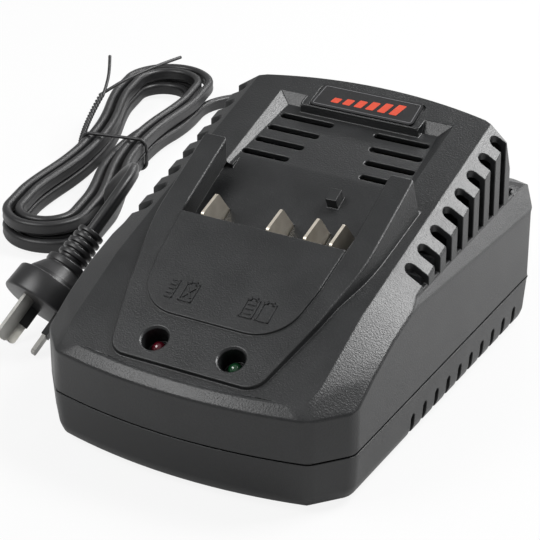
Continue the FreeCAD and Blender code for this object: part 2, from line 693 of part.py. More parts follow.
def upper_housing():
    """Upper moulding: outer form less the same form drawn in by the wall."""
    wall = s("wall")
    cap = front_cap()
    outer = main_form(0.0).common(cap)
    outer = outer.fuse([ridge_form().common(cap), plate_form(0.0), tongue_form()])
    outer = outer.common(plan_prism(s("seam_height"), 2 * s("height")))
    outer = outer.cut([bay_form(0.0), recess_form()])
    inner = main_form(wall).fuse(plate_form(wall))
    deck_low = above(V(0, at(s("crease_y")), below_top("crease_drop")), slope_normal("deck_slope"), wall)
    reach = s("recess_half") + wall
    deck_space = box(-reach, reach, at(s("arm_end_y") - wall), at(s("recess_back") + wall), 0, 200)
    inner = inner.cut([bay_form(wall), rail_form(wall), deck_space.common(deck_low)])
    shell = outer.cut(inner)
    lip_space = plan_prism(s("seam_height") - 1, s("seam_height") + s("lip_height") + s("fit_gap"),
                           wall - s("lip_width") - s("fit_gap"))
    lip_space = lip_space.cut(plan_prism(s("seam_height") - 2, 40, wall + s("fit_gap")))
    bosses = []
    bores = []
    for x, y in screw_places():
        bosses.append(Part.makeCylinder(s("boss_d") / 2, 60, V(x, at(y), s("seam_height"))))
        bores.append(Part.makeCylinder(s("screw_d") / 2 + 0.15, s("screw_length"), V(x, at(y), s("seam_height") - 1)))
    for x, y in well_places():
        tube = Part.makeCylinder(s("well_d") / 2 + 1.8, s("well_depth") + 2)
        bosses.append(slope_solid(tube, -s("well_depth") - 2, y, x))
        bore = Part.makeCylinder(s("well_d") / 2, 20)
        bores.append(slope_solid(bore, -s("well_depth"), y, x))
        rim = s("well_rim")
        cone = Part.makeCone(s("well_d") / 2, s("well_d") / 2 + 3 * rim, 3 * rim)
        bores.append(slope_solid(cone, -rim, y, x))
        lamp_hole = Part.makeCylinder(s("lamp_d") / 2 + s("fit_gap"), 20)
        bores.append(slope_solid(lamp_hole, -s("well_depth") - 6, y, x))
    for side in (-1, 1):
        post = Part.makeCylinder(s("lamp_post_d") / 2, lamp_seat() - 1)
        bosses.append(slope_solid(post, -lamp_seat(), s("well_y"), side * (s("lamp_board_width") / 2 - 4)))
    inside = Part.makeCompound(bosses).common(outer)
    shell = shell.cut(lip_space).fuse(inside)
    shell = shell.cut(bores + [rail_form(0.0)] + tower_vents() + deck_slots())
    shell = shell.cut(blade_slots() + [badge_seat()]).fuse(key_form())
    return shell.removeSplitter()


def blade_xs():
    return {name: s("blade_" + name) for name in ("left", "middle", "inner_right", "right")}


def blade_outline(grow=0.0):
    """Side view of a contact blade, as (y, z) from the front."""
    front, back = s("blade_front") - grow, s("blade_back") + grow
    low = s("blade_tail") / math.cos(math.radians(s("plate_slope")))
    return [
        (front, bay_floor_z(front) - low),
        (front, below_top("blade_apex_drop") - s("blade_round")),
        (s("blade_apex_y") - 1.5, below_top("blade_apex_drop") - 0.4),
        (s("blade_apex_y"), below_top("blade_apex_drop")),
        (s("blade_apex_y") + 1.3, below_top("blade_apex_drop") - 0.8),
        (back, bay_floor_z(back)),
        (back, bay_floor_z(back) - 4.0),
        (back - 8.0, bay_floor_z(front) - low + 4.0),
        (front + 7.0, bay_floor_z(front) - low),
    ]


def blade_slots(depth=6.0):
    """Slots in the bay floor, and deeper in the contact block, that the blades come up through."""
    half = s("blade_thick") / 2 + s("fit_gap")
    front, back = s("blade_front") - s("fit_gap"), s("blade_back") + s("fit_gap")
    outline = [
        (front, bay_floor_z(front) - depth),
        (back, bay_floor_z(back) - depth),
        (back, bay_floor_z(back) + 2),
        (front, bay_floor_z(front) + 2),
    ]
    cuts = []
    for x in blade_xs().values():
        cut = prism_x(outline, half)
        cut.translate(V(x, 0, 0))
        cuts.append(cut)
    return cuts


def badge_outline(grow):
    half, depth, corner = s("badge_half") + grow, s("badge_depth") + grow, s("badge_corner") + grow
    return rounded_outline([(-half, -grow, corner), (half, -grow, corner), (half, depth, corner), (-half, depth, corner)])


def badge_placement():
    place = V(0, at(s("badge_front")), top_z(s("badge_front"))) - slope_normal("back_slope") * s("badge_sunk")
    return FreeCAD.Placement(place, FreeCAD.Rotation(V(1, 0, 0), s("back_slope")))


def badge_seat():
    seat = Part.Face(badge_outline(s("fit_gap"))).extrude(V(0, 0, 5))
    seat.Placement = badge_placement()
    return seat


def tray_form(inset):
    """Tray under the seam, drawing in towards its foot, with a lower edge of two flats."""
    low, edge = s("foot_height") + inset, s("tray_edge") - inset
    share = edge / (s("seam_height") - low)
    draft = s("tray_draft")
    return loft(
        plan_wire(low, draft + 0.8 * edge + inset),
        plan_wire(low + 0.25 * edge, draft * (1 - share / 4) + 0.25 * edge + inset),
        plan_wire(low + edge, draft * (1 - share) + inset),
        plan_wire(s("seam_height"), inset),
    )


def tray_vents():
    cuts = []
    for i in range(int(s("tray_vent_count"))):
        y = s("tray_vent_first") + i * s("tray_vent_pitch")
        r = s("tray_vent_width") / 2
        top, start = s("tray_vent_top"), s("width") / 2 - 6.5
        corners = [(-r, -1), (r, -1), (r, top - 0.7 * r), (0.4 * r, top), (-0.4 * r, top), (-r, top - 0.7 * r)]
        slot = face_of([V(start, u, v) for u, v in corners]).extrude(V(s("width"), 0, 0))
        slot.translate(V(0, at(y), 0))
        cuts += [slot, slot.mirror(V(0, 0, 0), V(1, 0, 0))]
    return cuts


def lower_housing():
    """Tray with rounded foot, locating lip, screw bosses, board posts and vents."""
    wall, seam = s("wall"), s("seam_height")
    outer = tray_form(0.0)
    shell = outer.cut(tray_form(wall))
    lip = plan_prism(seam - 3, seam + s("lip_height"), wall - s("lip_width"))
    lip = lip.cut(plan_prism(seam - 4, seam + 4, wall + 0.001))
    shell = shell.fuse(lip)
    floor = s("foot_height") + wall
    solids = []
    cuts = []
    for x, y in screw_places():
        solids.append(Part.makeCylinder(s("boss_d") / 2 + 1, seam - floor + 1, V(x, at(y), floor - 1)))
        cuts.append(Part.makeCylinder(s("screw_d") / 2 + 0.3, 40, V(x, at(y), 0)))
        cuts.append(Part.makeCylinder(s("screw_head_d") / 2 + 0.4, head_seat(), V(x, at(y), 0)))
    for x, y in board_posts():
        solids.append(Part.makeCylinder(s("post_d") / 2, s("board_z") - floor + 1, V(x, at(y), floor - 1)))
        cuts.append(Part.makeCylinder(s("board_screw_d") / 2 + 0.15, 6.5, V(x, at(y), s("board_z") - 6.5)))
    for side in (-1, 1):
        place = V(s("gland_x") + side * s("clamp_screws"), at(along("clamp_y")), floor - 1)
        solids.append(Part.makeCylinder(s("post_d") / 2, clamp_z() - floor + 1, place))
        place.z = clamp_z() - 7
        cuts.append(Part.makeCylinder(s("board_screw_d") / 2 + 0.15, 7, place))
    for x, y in foot_places():
        cuts.append(Part.makeCylinder(s("foot_d") / 2 + 0.2, s("foot_sunk"), V(x, at(y), s("foot_height"))))
    half = s("gland_width") / 2 + 0.1
    slot_low = s("gland_z") - half
    x = s("gland_x")
    cuts.append(box(x - half, x + half, at(s("length") - 12), at(s("length") + 1), slot_low, seam + 5))
    return shell.fuse(solids).cut(cuts + tray_vents()).removeSplitter()


def clamp_z():
    """Underside of the cord clamp, on top of the flat cord."""
    return s("gland_z") + s("cord_width") / 2


def head_seat():
    """Height of the face that the screw heads pull on."""
    return s("seam_height") - 6.0


def foot_places():
    return [(side * s("foot_x"), along("foot_%s_y" % end)) for end in ("front", "back") for side in (-1, 1)]


def feature(label, shape):
    """Piece drawn with the modelling functions of this file."""
    piece = doc.addObject("Part::Feature", label)
    piece.Label = label
    solids = shape.Solids
    piece.Shape = solids[0] if len(solids) == 1 else Part.makeCompound(solids)
    pieces.append(piece)
    return piece




ALIASES = {alias for alias, _, _ in SIZES}


def bind(target, prop, text):
    """Tie a property to the sheet; the text uses the sheet's names alone."""
    linked = re.sub(r"[a-z_]+", lambda m: "sizes." + m.group() if m.group() in ALIASES else m.group(), text)
    target.setExpression(prop, linked)


def worth(text):
    """Number that an expression in the sheet's names stands for."""
    sheet.set("E1", "=" + text)
    sheet.recompute()
    return float(sheet.get("E1"))


def keep(piece, label):
    piece.Label = label
    pieces.append(piece)
    return piece


def place(x, y, z, rotation=None):
    """Placement at x, a distance y from the front, and height z."""
    return FreeCAD.Placement(V(x, at(y), z), rotation or FreeCAD.Rotation())


def feature(label, shape):
    """Piece drawn with the modelling functions of this file."""
    piece = doc.addObject("Part::Feature", label)
    solids = shape.Solids
    piece.Shape = solids[0] if len(solids) == 1 else Part.makeCompound(solids)
    return keep(piece, label)


def copies(label, source, placements):
    """The same solid at several places, as one node."""
    shape = source.Shape.copy()
    shape.Placement = FreeCAD.Placement()
    solids = []
    for item in placements:
        solid = shape.copy()
        solid.Placement = item
        solids.append(solid)
    return feature(label, Part.makeCompound(solids))


def outline(sketch, points):
    """Closed outline whose every corner is tied to the sheet."""
    first = sketch.GeometryCount
    values = [V(worth(u), worth(v), 0) for u, v in points]
    count = len(values)
    for i in range(count):
        sketch.addGeometry(Part.LineSegment(values[i], values[(i + 1) % count]))
    for i in range(count):
        following = first + (i + 1) % count
        sketch.addConstraint(Sketcher.Constraint("Coincident", first + i, 2, following, 1))
    for i, (u, v) in enumerate(points):
        for kind, text, number, axis in (("DistanceX", u, values[i].x, -2), ("DistanceY", v, values[i].y, -1)):
            if text == "0":
                sketch.addConstraint(Sketcher.Constraint("PointOnObject", first + i, 1, axis))
                continue
            k = sketch.addConstraint(Sketcher.Constraint(kind, -1, 1, first + i, 1, number))
            bind(sketch, "Constraints[%d]" % k, text)


def sketch_on(body, name, role, loops):
    sketch = body.newObject("Sketcher::SketchObject", name)
    plane = [f for f in body.Origin.OriginFeatures if f.Role == role][0]
    sketch.AttachmentSupport = [(plane, "")]
    sketch.MapMode = "FlatFace"
    for points in loops:
        outline(sketch, points)
    return sketch


def padded(label, role, loops, length, middle=False, show=True):
    """Body padded from a profile, with holes where the profile has inner loops."""
    body = doc.addObject("PartDesign::Body", label)
    sketch = sketch_on(body, label + "_profile", role, loops)
    pad = body.newObject("PartDesign::Pad", label + "_pad")
    pad.Profile = sketch
    bind(pad, "Length", length)
    if middle:
        pad.SideType = "Symmetric"
    body.Tip = pad
    return keep(body, label) if show else body


def turned(label, points, show=True):
    """Body turned about its upright axis from a (radius, height) profile."""
    body = doc.addObject("PartDesign::Body", label)
    sketch = sketch_on(body, label + "_profile", "XZ_Plane", [points])
    turn = body.newObject("PartDesign::Revolution", label + "_turn")
    turn.Profile = sketch
    turn.ReferenceAxis = (sketch, ["V_Axis"])
    turn.Angle = 360
    body.Tip = turn
    return keep(body, label) if show else body


def rounded(body, radius, chosen):
    """Fillet on the edges of a body that the test picks out."""
    doc.recompute()
    tip = body.Tip
    names = ["Edge%d" % (i + 1) for i, edge in enumerate(tip.Shape.Edges) if chosen(edge)]
    fillet = body.newObject("PartDesign::Fillet", body.Name + "_round")
    fillet.Base = (tip, names)
    bind(fillet, "Radius", radius)
    body.Tip = fillet
    return body


def upright(edge):
    """True for a straight edge along the body's own Z."""
    ends = [v.Point for v in edge.Vertexes]
    return len(ends) == 2 and abs(ends[0].x - ends[1].x) < 1e-6 and abs(ends[0].y - ends[1].y) < 1e-6


def block(label, size, placement, show=True):
    """Rectangular block centred on its placement, standing on it."""
    piece = doc.addObject("Part::Box", label)
    for prop, text in zip(("Length", "Width", "Height"), size):
        bind(piece, prop, text)
    middle = V(-worth(size[0]) / 2, -worth(size[1]) / 2, 0)
    piece.Placement = placement.multiply(FreeCAD.Placement(middle, FreeCAD.Rotation()))
    return keep(piece, label) if show else piece


def fused(label, parts):
    joined = doc.addObject("Part::MultiFuse", label)
    joined.Shapes = parts
    return keep(joined, label)


# Case

feature("upper_housing", upper_housing())
feature("lower_housing", lower_housing())
badge = padded("name_plate", "XY_Plane", [
    [("-badge_half", "0"), ("badge_half", "0"), ("badge_half", "badge_depth"), ("-badge_half", "badge_depth")],
], "badge_thick")
rounded(badge, "badge_corner", upright)
badge.Placement = badge_placement()

screw = turned("screw_form", [
    ("0", "0"), ("screw_head_d / 2", "0"), ("screw_head_d / 2", "screw_head * 0.5"),
    ("screw_d / 2", "screw_head"), ("screw_d / 2", "screw_head + screw_length - 2"),
    ("screw_d / 4", "screw_head + screw_length"), ("0", "screw_head + screw_length"),
], show=False)
foot = turned("foot_form", [
    ("0", "0"), ("foot_d / 2 - 0.6", "0"), ("foot_d / 2", "0.6"),
    ("foot_d / 2", "foot_height + foot_sunk"), ("0", "foot_height + foot_sunk"),
], show=False)
board_screw = turned("board_screw_form", [
    ("0", "-board_screw_length"), ("board_screw_d / 2", "-board_screw_length"), ("board_screw_d / 2", "0"),
    ("board_screw_head_d / 2", "0"), ("board_screw_head_d / 2", "board_screw_head - 0.5"),
    ("board_screw_head_d / 2 - 0.8", "board_screw_head"), ("0", "board_screw_head"),
], show=False)
doc.recompute()
copies("housing_screws", screw, [place(x, y, head_seat() - s("screw_head")) for x, y in screw_places()])
copies("rubber_feet", foot, [place(x, y, 0) for x, y in foot_places()])

# Lamps and their board

lamp_points = [
    ("0", "0"), ("lamp_flange / 2", "0"), ("lamp_flange / 2", "lamp_foot"), ("lamp_d / 2", "lamp_foot"),
    ("lamp_d / 2", "lamp_length - lamp_d / 2"), ("lamp_d * 0.46", "lamp_length - lamp_d * 0.31"),
    ("lamp_d * 0.354", "lamp_length - lamp_d * 0.146"), ("lamp_d * 0.19", "lamp_length - lamp_d * 0.038"),
    ("0", "lamp_length"),
]
lamp_frame = plate_placement(-lamp_seat())
for name, (x, y) in zip(("red_led", "green_led"), well_places()):
    lamp = turned(name, lamp_points)
    lamp.Placement = lamp_frame.multiply(FreeCAD.Placement(V(x, up_slope(y), 0), FreeCAD.Rotation()))
lamp_board = block("led_board", ("lamp_board_width", "lamp_board_depth", "board_thick"),
                   plate_placement(-lamp_seat() - s("board_thick")).multiply(
                       FreeCAD.Placement(V(0, up_slope(s("well_y")), 0), FreeCAD.Rotation())))

# Contacts in the bay

for name, x in blade_xs().items():
    points = [(u, v) for u, v in blade_outline()]
    blade = doc.addObject("PartDesign::Body", "contact_blade_" + name)
    sketch = blade.newObject("Sketcher::SketchObject", "blade_profile_" + name)
    plane = [f for f in blade.Origin.OriginFeatures if f.Role == "YZ_Plane"][0]
    sketch.AttachmentSupport = [(plane, "")]
    sketch.MapMode = "FlatFace"
    corners = [V(at(u), v, 0) for u, v in points]
    for i in range(len(corners)):
        sketch.addGeometry(Part.LineSegment(corners[i], corners[(i + 1) % len(corners)]))
    pad = blade.newObject("PartDesign::Pad", "blade_pad_" + name)
    pad.Profile = sketch
    pad.SideType = "Symmetric"
    bind(pad, "Length", "blade_thick")
    blade.Tip = pad
    blade.Placement = FreeCAD.Placement(V(x, 0, 0), FreeCAD.Rotation())
    keep(blade, "contact_blade_" + name)

drop = s("wall") / math.cos(math.radians(s("plate_slope")))
under = [(y, bay_floor_z(y) - drop) for y in (s("block_front"), s("block_back"))]
under += [(y, z - s("block_thick")) for y, z in reversed(under)]
contact_block = prism_x(under, s("block_half"))
feature("contact_block", contact_block.cut(blade_slots(4 * s("block_thick"))))

# Circuit board

board = padded("circuit_board", "XY_Plane", [
    [("-board_half", "length * board_front"), ("board_half", "length * board_front"),
     ("board_half", "length * board_back"), ("-board_half", "length * board_back")],
] , "board_thick")
holes = board.newObject("Sketcher::SketchObject", "board_holes")
holes.AttachmentSupport = [([f for f in board.Origin.OriginFeatures if f.Role == "XY_Plane"][0], "")]
holes.MapMode = "FlatFace"
for i, (x, y) in enumerate(board_posts()):
    holes.addGeometry(Part.Circle(V(x, y, 0), V(0, 0, 1), s("board_screw_d") / 2 + 0.2))
    for kind, value, text in (
        ("DistanceX", x, "board_half - board_inset"),
        ("DistanceY", y, "length * board_front + board_inset" if i < 2 else "length * board_back - board_inset"),
    ):
        k = holes.addConstraint(Sketcher.Constraint(kind, -1, 1, i, 3, value))
        bind(holes, "Constraints[%d]" % k, "-(%s)" % text if value < 0 else text)
    k = holes.addConstraint(Sketcher.Constraint("Radius", i, s("board_screw_d") / 2 + 0.2))
    bind(holes, "Constraints[%d]" % k, "board_screw_d / 2 + 0.2")
cut = board.newObject("PartDesign::Pocket", "board_cut")
cut.Profile = holes
cut.Type = "ThroughAll"
cut.Reversed = True
board.Tip = cut
board.Placement = place(0, 0, s("board_z"))
top = s("board_z") + s("board_thick")
clamp_places = [place(s("gland_x") + side * s("clamp_screws"), along("clamp_y"), clamp_z() + s("clamp_thick"))
                for side in (-1, 1)]
copies("board_screws", board_screw, [place(x, y, top) for x, y in board_posts()])
copies("clamp_screws", board_screw, clamp_places)

core = padded("transformer_core", "XZ_Plane", [
    [("-core_width / 2", "0"), ("core_width / 2", "0"), ("core_width / 2", "core_height"),
     ("-core_width / 2", "core_height")],
    [("core_centre / 2", "core_limb"), ("core_width / 2 - core_limb", "core_limb"),
     ("core_width / 2 - core_limb", "core_height - core_limb"), ("core_centre / 2", "core_height - core_limb")],
    [("-core_centre / 2", "core_limb"), ("-core_width / 2 + core_limb", "core_limb"),
     ("-core_width / 2 + core_limb", "core_height - core_limb"), ("-core_centre / 2", "core_height - core_limb")],
], "core_depth", middle=True)
core.Placement = place(0, along("core_y"), top)
coil_half = "(core_width / 2 - core_limb - 0.3)"
coil = padded("transformer_winding", "XY_Plane", [
    [("-" + coil_half, "-coil_depth / 2"), (coil_half, "-coil_depth / 2"), (coil_half, "coil_depth / 2"),
     ("-" + coil_half, "coil_depth / 2")],
    [("-core_centre / 2 - 0.1", "-core_depth / 2 - 0.1"), ("core_centre / 2 + 0.1", "-core_depth / 2 - 0.1"),
     ("core_centre / 2 + 0.1", "core_depth / 2 + 0.1"), ("-core_centre / 2 - 0.1", "core_depth / 2 + 0.1")],
], "core_height - 2 * core_limb - 0.2")
coil.Placement = place(0, along("core_y"), top + s("core_limb") + 0.1)


def can(label, diameter, height, show=True):
    """Electrolytic capacitor with its rolled groove."""
    return turned(label, [
        ("0", "0"), (diameter + " / 2", "0"), (diameter + " / 2", height + " * 0.1"),
        (diameter + " / 2 - 0.5", height + " * 0.1 + 0.8"), (diameter + " / 2", height + " * 0.1 + 1.6"),
        (diameter + " / 2", height + " - 0.8"), (diameter + " / 2 - 0.8", height), ("0", height),
    ], show)


bulk = can("bulk_capacitor", "bulk_d", "bulk_height")
bulk.Placement = place(s("bulk_x"), along("bulk_y"), top)
output = can("output_form", "output_d", "output_height", show=False)
doc.recompute()
copies("output_capacitors", output, [
    place(s("output_x") + i * (s("output_d") + 2), along("output_y"), top) for i in range(2)])
choke = turned("line_choke", [
    ("choke_inner / 2", "0.8"), ("choke_inner / 2 + 0.8", "0"), ("choke_outer / 2 - 1.5", "0"),
    ("choke_outer / 2", "1.5"), ("choke_outer / 2", "choke_height - 1.5"),
    ("choke_outer / 2 - 1.5", "choke_height"), ("choke_inner / 2 + 0.8", "choke_height"),
    ("choke_inner / 2", "choke_height - 0.8"),
])
choke.Placement = place(s("choke_x"), along("choke_y"), top)
block("filter_capacitor", ("film_width", "film_depth", "film_height"), place(s("film_x"), along("film_y"), top))
block("bridge_rectifier", ("bridge_width", "bridge_depth", "bridge_height"),
      place(s("bridge_x"), along("bridge_y"), top))
fuse = turned("fuse", [
    ("0", "0"), ("fuse_d / 2", "0"), ("fuse_d / 2", "fuse_height - 0.6"), ("fuse_d / 2 - 0.6", "fuse_height"),
    ("0", "fuse_height"),
])
fuse.Placement = place(s("fuse_x"), along("fuse_y"), top)


def heat_sink(label, side):
    """Extruded plate with fins on its outer face."""
    count = int(s("sink_fins"))
    points = [("0", "-sink_length / 2")]
    step = "((sink_length - sink_fin_thick) / %d)" % (count - 1)
    for i in range(count):
        start = "-sink_length / 2 + %d * %s" % (i, step)
        points += [("sink_plate + sink_fin", start), ("sink_plate + sink_fin", start + " + sink_fin_thick")]
        if i < count - 1:
            ahead = "-sink_length / 2 + %d * %s" % (i + 1, step)
            points += [("sink_plate", start + " + sink_fin_thick"), ("sink_plate", ahead)]
    points.append(("0", "sink_length / 2"))
    sink = padded(label, "XY_Plane", [points], "sink_height")
    turn = FreeCAD.Rotation(V(0, 0, 1), 0 if side > 0 else 180)
    sink.Placement = place(side * s("sink_x"), along("sink_y"), top, turn)
    return sink


def power_device(label, side):
    """Flat power device on the inner face of a heat sink, on three legs."""
    turn = FreeCAD.Rotation(V(0, 0, 1), 0 if side > 0 else 180)
    face = side * s("sink_x")
    body = block(label + "_body", ("device_thick", "device_width", "device_height"),
                 place(face - side * s("device_thick") / 2, along("sink_y"), top + s("device_lift"), turn), show=False)
    tab = block(label + "_tab", ("device_tab_thick", "device_width", "device_tab"),
                place(face - side * s("device_tab_thick") / 2, along("sink_y"),
                      top + s("device_lift") + s("device_height"), turn), show=False)
    legs = []
    for i in range(3):
        leg = block("%s_leg%d" % (label, i), ("0.6", "0.9", "device_lift"),
                    place(face - side * s("device_thick") * 0.6, along("sink_y") + (i - 1) * 2.54, top, turn), show=False)
        legs.append(leg)
    return fused(label, [body, tab] + legs)


heat_sink("heat_sink_primary", 1)
heat_sink("heat_sink_secondary", -1)
power_device("switching_transistor", 1)
power_device("output_rectifier", -1)


def chip(label, length, y, pairs):
    """Moulded chip on two rows of pins."""
    body = block(label + "_body", ("chip_width", length, "chip_height"),
                 place(s("chip_x"), y, top + 0.6), show=False)
    pins = []
    for i in range(pairs):
        for side in (-1, 1):
            spot = place(s("chip_x") + side * (s("chip_width") / 2 + 0.3), y + (i - (pairs - 1) / 2) * 2.2, top)
            pins.append(block("%s_pin%d_%d" % (label, i, side + 1), ("1.0", "1.1", "2.4"), spot, show=False))
    return fused(label, [body] + pins)


chip("control_chip", "chip_length", along("chip_y"), 4)
chip("optocoupler", "coupler_length", along("coupler_y"), 2)

# Leads inside the case


def tangent_arcs(points, shorten=0.45):
    """Open wire of straight runs joined by arcs that touch both runs."""
    edges = []
    start = points[0]
    for i in range(1, len(points) - 1):
        back = points[i - 1] - points[i]
        ahead = points[i + 1] - points[i]
        reach = shorten * min(back.Length, ahead.Length)
        back.normalize()
        ahead.normalize()
        half = back.getAngle(ahead) / 2
        radius = reach * math.tan(half)
        middle = back + ahead
        middle.normalize()
        centre = points[i] + middle * (radius / math.sin(half))
        a = points[i] + back * reach
        b = points[i] + ahead * reach
        edges.append(Part.LineSegment(start, a).toShape())
        edges.append(Part.Arc(a, centre - middle * radius, b).toShape())
        start = b
        radii.append(radius)
    edges.append(Part.LineSegment(start, points[-1]).toShape())
    return Part.Wire(edges)


def flat_section(point, way, diameter, sides=6):
    """Regular section of a thin lead or wire, as wide over its flats as the diameter."""
    side = way.cross(V(0, 0, 1))
    if side.Length < 1e-3:
        side = V(1, 0, 0)
    side.normalize()
    up = side.cross(way)
    up.normalize()
    r = diameter / 2 / math.cos(math.pi / sides)
    turn = [math.pi * (2 * i + 1) / sides for i in range(sides)]
    corners = [point + side * (r * math.cos(a)) + up * (r * math.sin(a)) for a in turn]
    return Part.makePolygon(corners + corners[:1])


def sweep(wire, section):
    return wire.makePipeShell([section], True, False)


radii = []
blade_low = blade_outline()[0][1]
lead_y = s("blade_front") + 3.5
feature("contact_leads", Part.makeCompound([
    Part.makeCylinder(s("lead_d") / 2, blade_low - top, V(x, at(lead_y), top)) for x in blade_xs().values()]))
leads = []
jacket_end = (s("length") - s("gland_inset")) - s("gland_grip") - s("gland_flange_thick") - s("jacket_length")
for side in (-1, 1):
    x = s("gland_x") + side * 0.0
    z = s("gland_z") + side * s("cord_width") / 4
    spread = 4.0 if side > 0 else 0.0
    points = [V(x, at(jacket_end), z), V(x, at(jacket_end - 4), z), V(x + spread, at(along("board_back") - 2), top + 8),
              V(x + spread, at(along("board_back") - 11), top + 8), V(x + spread, at(along("board_back") - 11), top)]
    leads.append(sweep(tangent_arcs(points), flat_section(points[0], V(0, 1, 0), s("lead_d"))))
feature("mains_leads", Part.makeCompound(leads))

# Cord, its gland, clamp and plug


def cord_section(point, way):
    """Flat cord with rounded edges, standing on its narrow side."""
    side = way.cross(V(0, 0, 1))
    side.normalize()
    up = side.cross(way)
    a, b, c = s("cord_thick") / 2, s("cord_width") / 2, s("cord_corner")
    corners = [(-a, -b + c), (-a + c, -b), (a - c, -b), (a, -b + c), (a, b - c), (a - c, b), (-a + c, b), (-a, b - c)]
    return Part.makePolygon([point + side * u + up * v for u, v in corners + corners[:1]])


def section_area():
    return s("cord_thick") * s("cord_width") - 2 * s("cord_corner") ** 2


inner_face = (s("length") - s("gland_inset")) - s("gland_grip") - s("gland_flange_thick")
mouth = V(s("gland_x"), at((s("length") - s("gland_inset")) + s("gland_flange_thick") + s("gland_sleeve")), s("gland_z"))
jacket = Part.Wire([Part.LineSegment(V(s("gland_x"), at(jacket_end), s("gland_z")),
                                     V(s("gland_x"), at(inner_face), s("gland_z"))).toShape()])
feature("cord_entry", sweep(jacket, cord_section(V(s("gland_x"), at(jacket_end), s("gland_z")), V(0, 1, 0))))
clamp_bar = block("clamp_form", ("clamp_width", "clamp_depth", "clamp_thick"),
                  place(s("gland_x"), along("clamp_y"), clamp_z()), show=False)
doc.recompute()
clamp_holes = [Part.makeCylinder(s("board_screw_d") / 2 + 0.2, 20,
                                 V(s("gland_x") + side * s("clamp_screws"), at(along("clamp_y")), clamp_z() - 5))
               for side in (-1, 1)]
feature("cord_clamp", clamp_bar.Shape.cut(clamp_holes))


def gland():
    """Grommet that fills the slot of the tray wall, with its tapered sleeve."""
    x, z, half, reach = s("gland_x"), s("gland_z"), s("gland_width") / 2, s("gland_flange")
    y0, y1 = (s("length") - s("gland_inset")) - s("gland_grip"), (s("length") - s("gland_inset"))
    top_edge = s("seam_height")
    neck = box(x - half, x + half, at(y0), at(y1), z - half, top_edge)
    flanges = [box(x - half - reach, x + half + reach, at(a), at(b), z - half - reach, top_edge)
               for a, b in ((y0 - s("gland_flange_thick"), y0), (y1, y1 + s("gland_flange_thick")))]
    flanges[0] = flanges[0].common(box(-200, 200, -200, 200, s("foot_height") + s("wall") + 0.2, 100))
    root = at(y1 + s("gland_flange_thick"))
    cone = Part.makeCone(s("sleeve_root") / 2, s("sleeve_tip") / 2, s("gland_sleeve"), V(x, root, z), V(0, 1, 0))
    cuts = []
    for i in range(4):
        y = root + s("gland_sleeve") * (0.2 + 0.19 * i)
        ring = Part.makeCylinder(s("sleeve_root"), 2.0, V(x, y, z), V(0, 1, 0))
        ring = ring.cut(Part.makeCylinder(s("sleeve_tip") / 2 - 0.5, 2.0, V(x, y, z), V(0, 1, 0)))
        cuts.append(ring)
    return flanges[0].fuse([neck, flanges[1], cone.cut(cuts)])


feature("cord_gland", gland())

plug_way = V(math.sin(math.radians(s("plug_turn"))), -math.cos(math.radians(s("plug_turn"))), 0)
plug_way = plug_way * math.cos(math.radians(s("plug_tilt"))) - V(0, 0, math.sin(math.radians(s("plug_tilt"))))
plug_face = V(s("plug_x"), at(s("plug_y")), s("plug_height"))
plug_side = V(0, 0, 1).cross(plug_way)
plug_side.normalize()
plug_up = plug_way.cross(plug_side)
plug_frame = FreeCAD.Placement(plug_face, FreeCAD.Rotation(plug_side, plug_way.cross(plug_side), plug_way, "ZXY"))
plug_end = plug_face - plug_way * s("plug_length")


def plug_body():
    """Round plug body with step, cone, neck and ribbed relief, along its own -Z from the face."""
    ribs = int(s("relief_ribs"))
    profile = [
        (0, 0), (s("plug_radius"), 0), (s("plug_radius") - 0.7, s("plug_rim")), (s("plug_shoulder"), s("plug_rim")),
        (s("plug_shoulder") - 0.5, s("plug_rim") + 2), (s("plug_neck") + 1.2, s("plug_cone") - 2),
        (s("plug_neck"), s("plug_cone")), (s("plug_neck") - 0.3, s("plug_neck_end")),
    ]
    pitch = (s("plug_length") - s("plug_neck_end")) / ribs
    for i in range(ribs):
        start = s("plug_neck_end") + i * pitch
        share = i / (ribs - 1)
        r = s("relief_root") * (1 - share) + s("relief_tip") * share
        profile += [(r - s("relief_groove"), start), (r - s("relief_groove"), start + pitch * 0.4),
                    (r, start + pitch * 0.4), (r, start + pitch)]
    profile.append((0, s("plug_length")))
    points = [V(r, 0, -d) for r, d in profile]
    solid = face_of(points).revolve(V(0, 0, 0), V(0, 0, 1), 360)
    solid.Placement = plug_frame
    return solid


def pin_solid(width, thick, start, end, across, up, turn):
    """Flat pin with a chamfered tip, in the plug's own frame."""
    half, t = width / 2, thick / 2
    tip = 0.9
    base = Part.makePolygon([V(-half, -t, start), V(half, -t, start), V(half, t, start), V(-half, t, start), V(-half, -t, start)])
    straight = Part.Face(base).extrude(V(0, 0, end - start - tip))
    low = base.copy()
    low.translate(V(0, 0, end - start - tip))
    high = Part.makePolygon([V(u, v, end) for u, v in (
        (-half + tip, -t + 0.4), (half - tip, -t + 0.4), (half - tip, t - 0.4), (-half + tip, t - 0.4),
        (-half + tip, -t + 0.4))])
    solid = straight.fuse(loft(low, high)).removeSplitter()
    solid.Placement = plug_frame.multiply(FreeCAD.Placement(V(across, up, 0), FreeCAD.Rotation(V(0, 0, 1), turn)))
    return solid


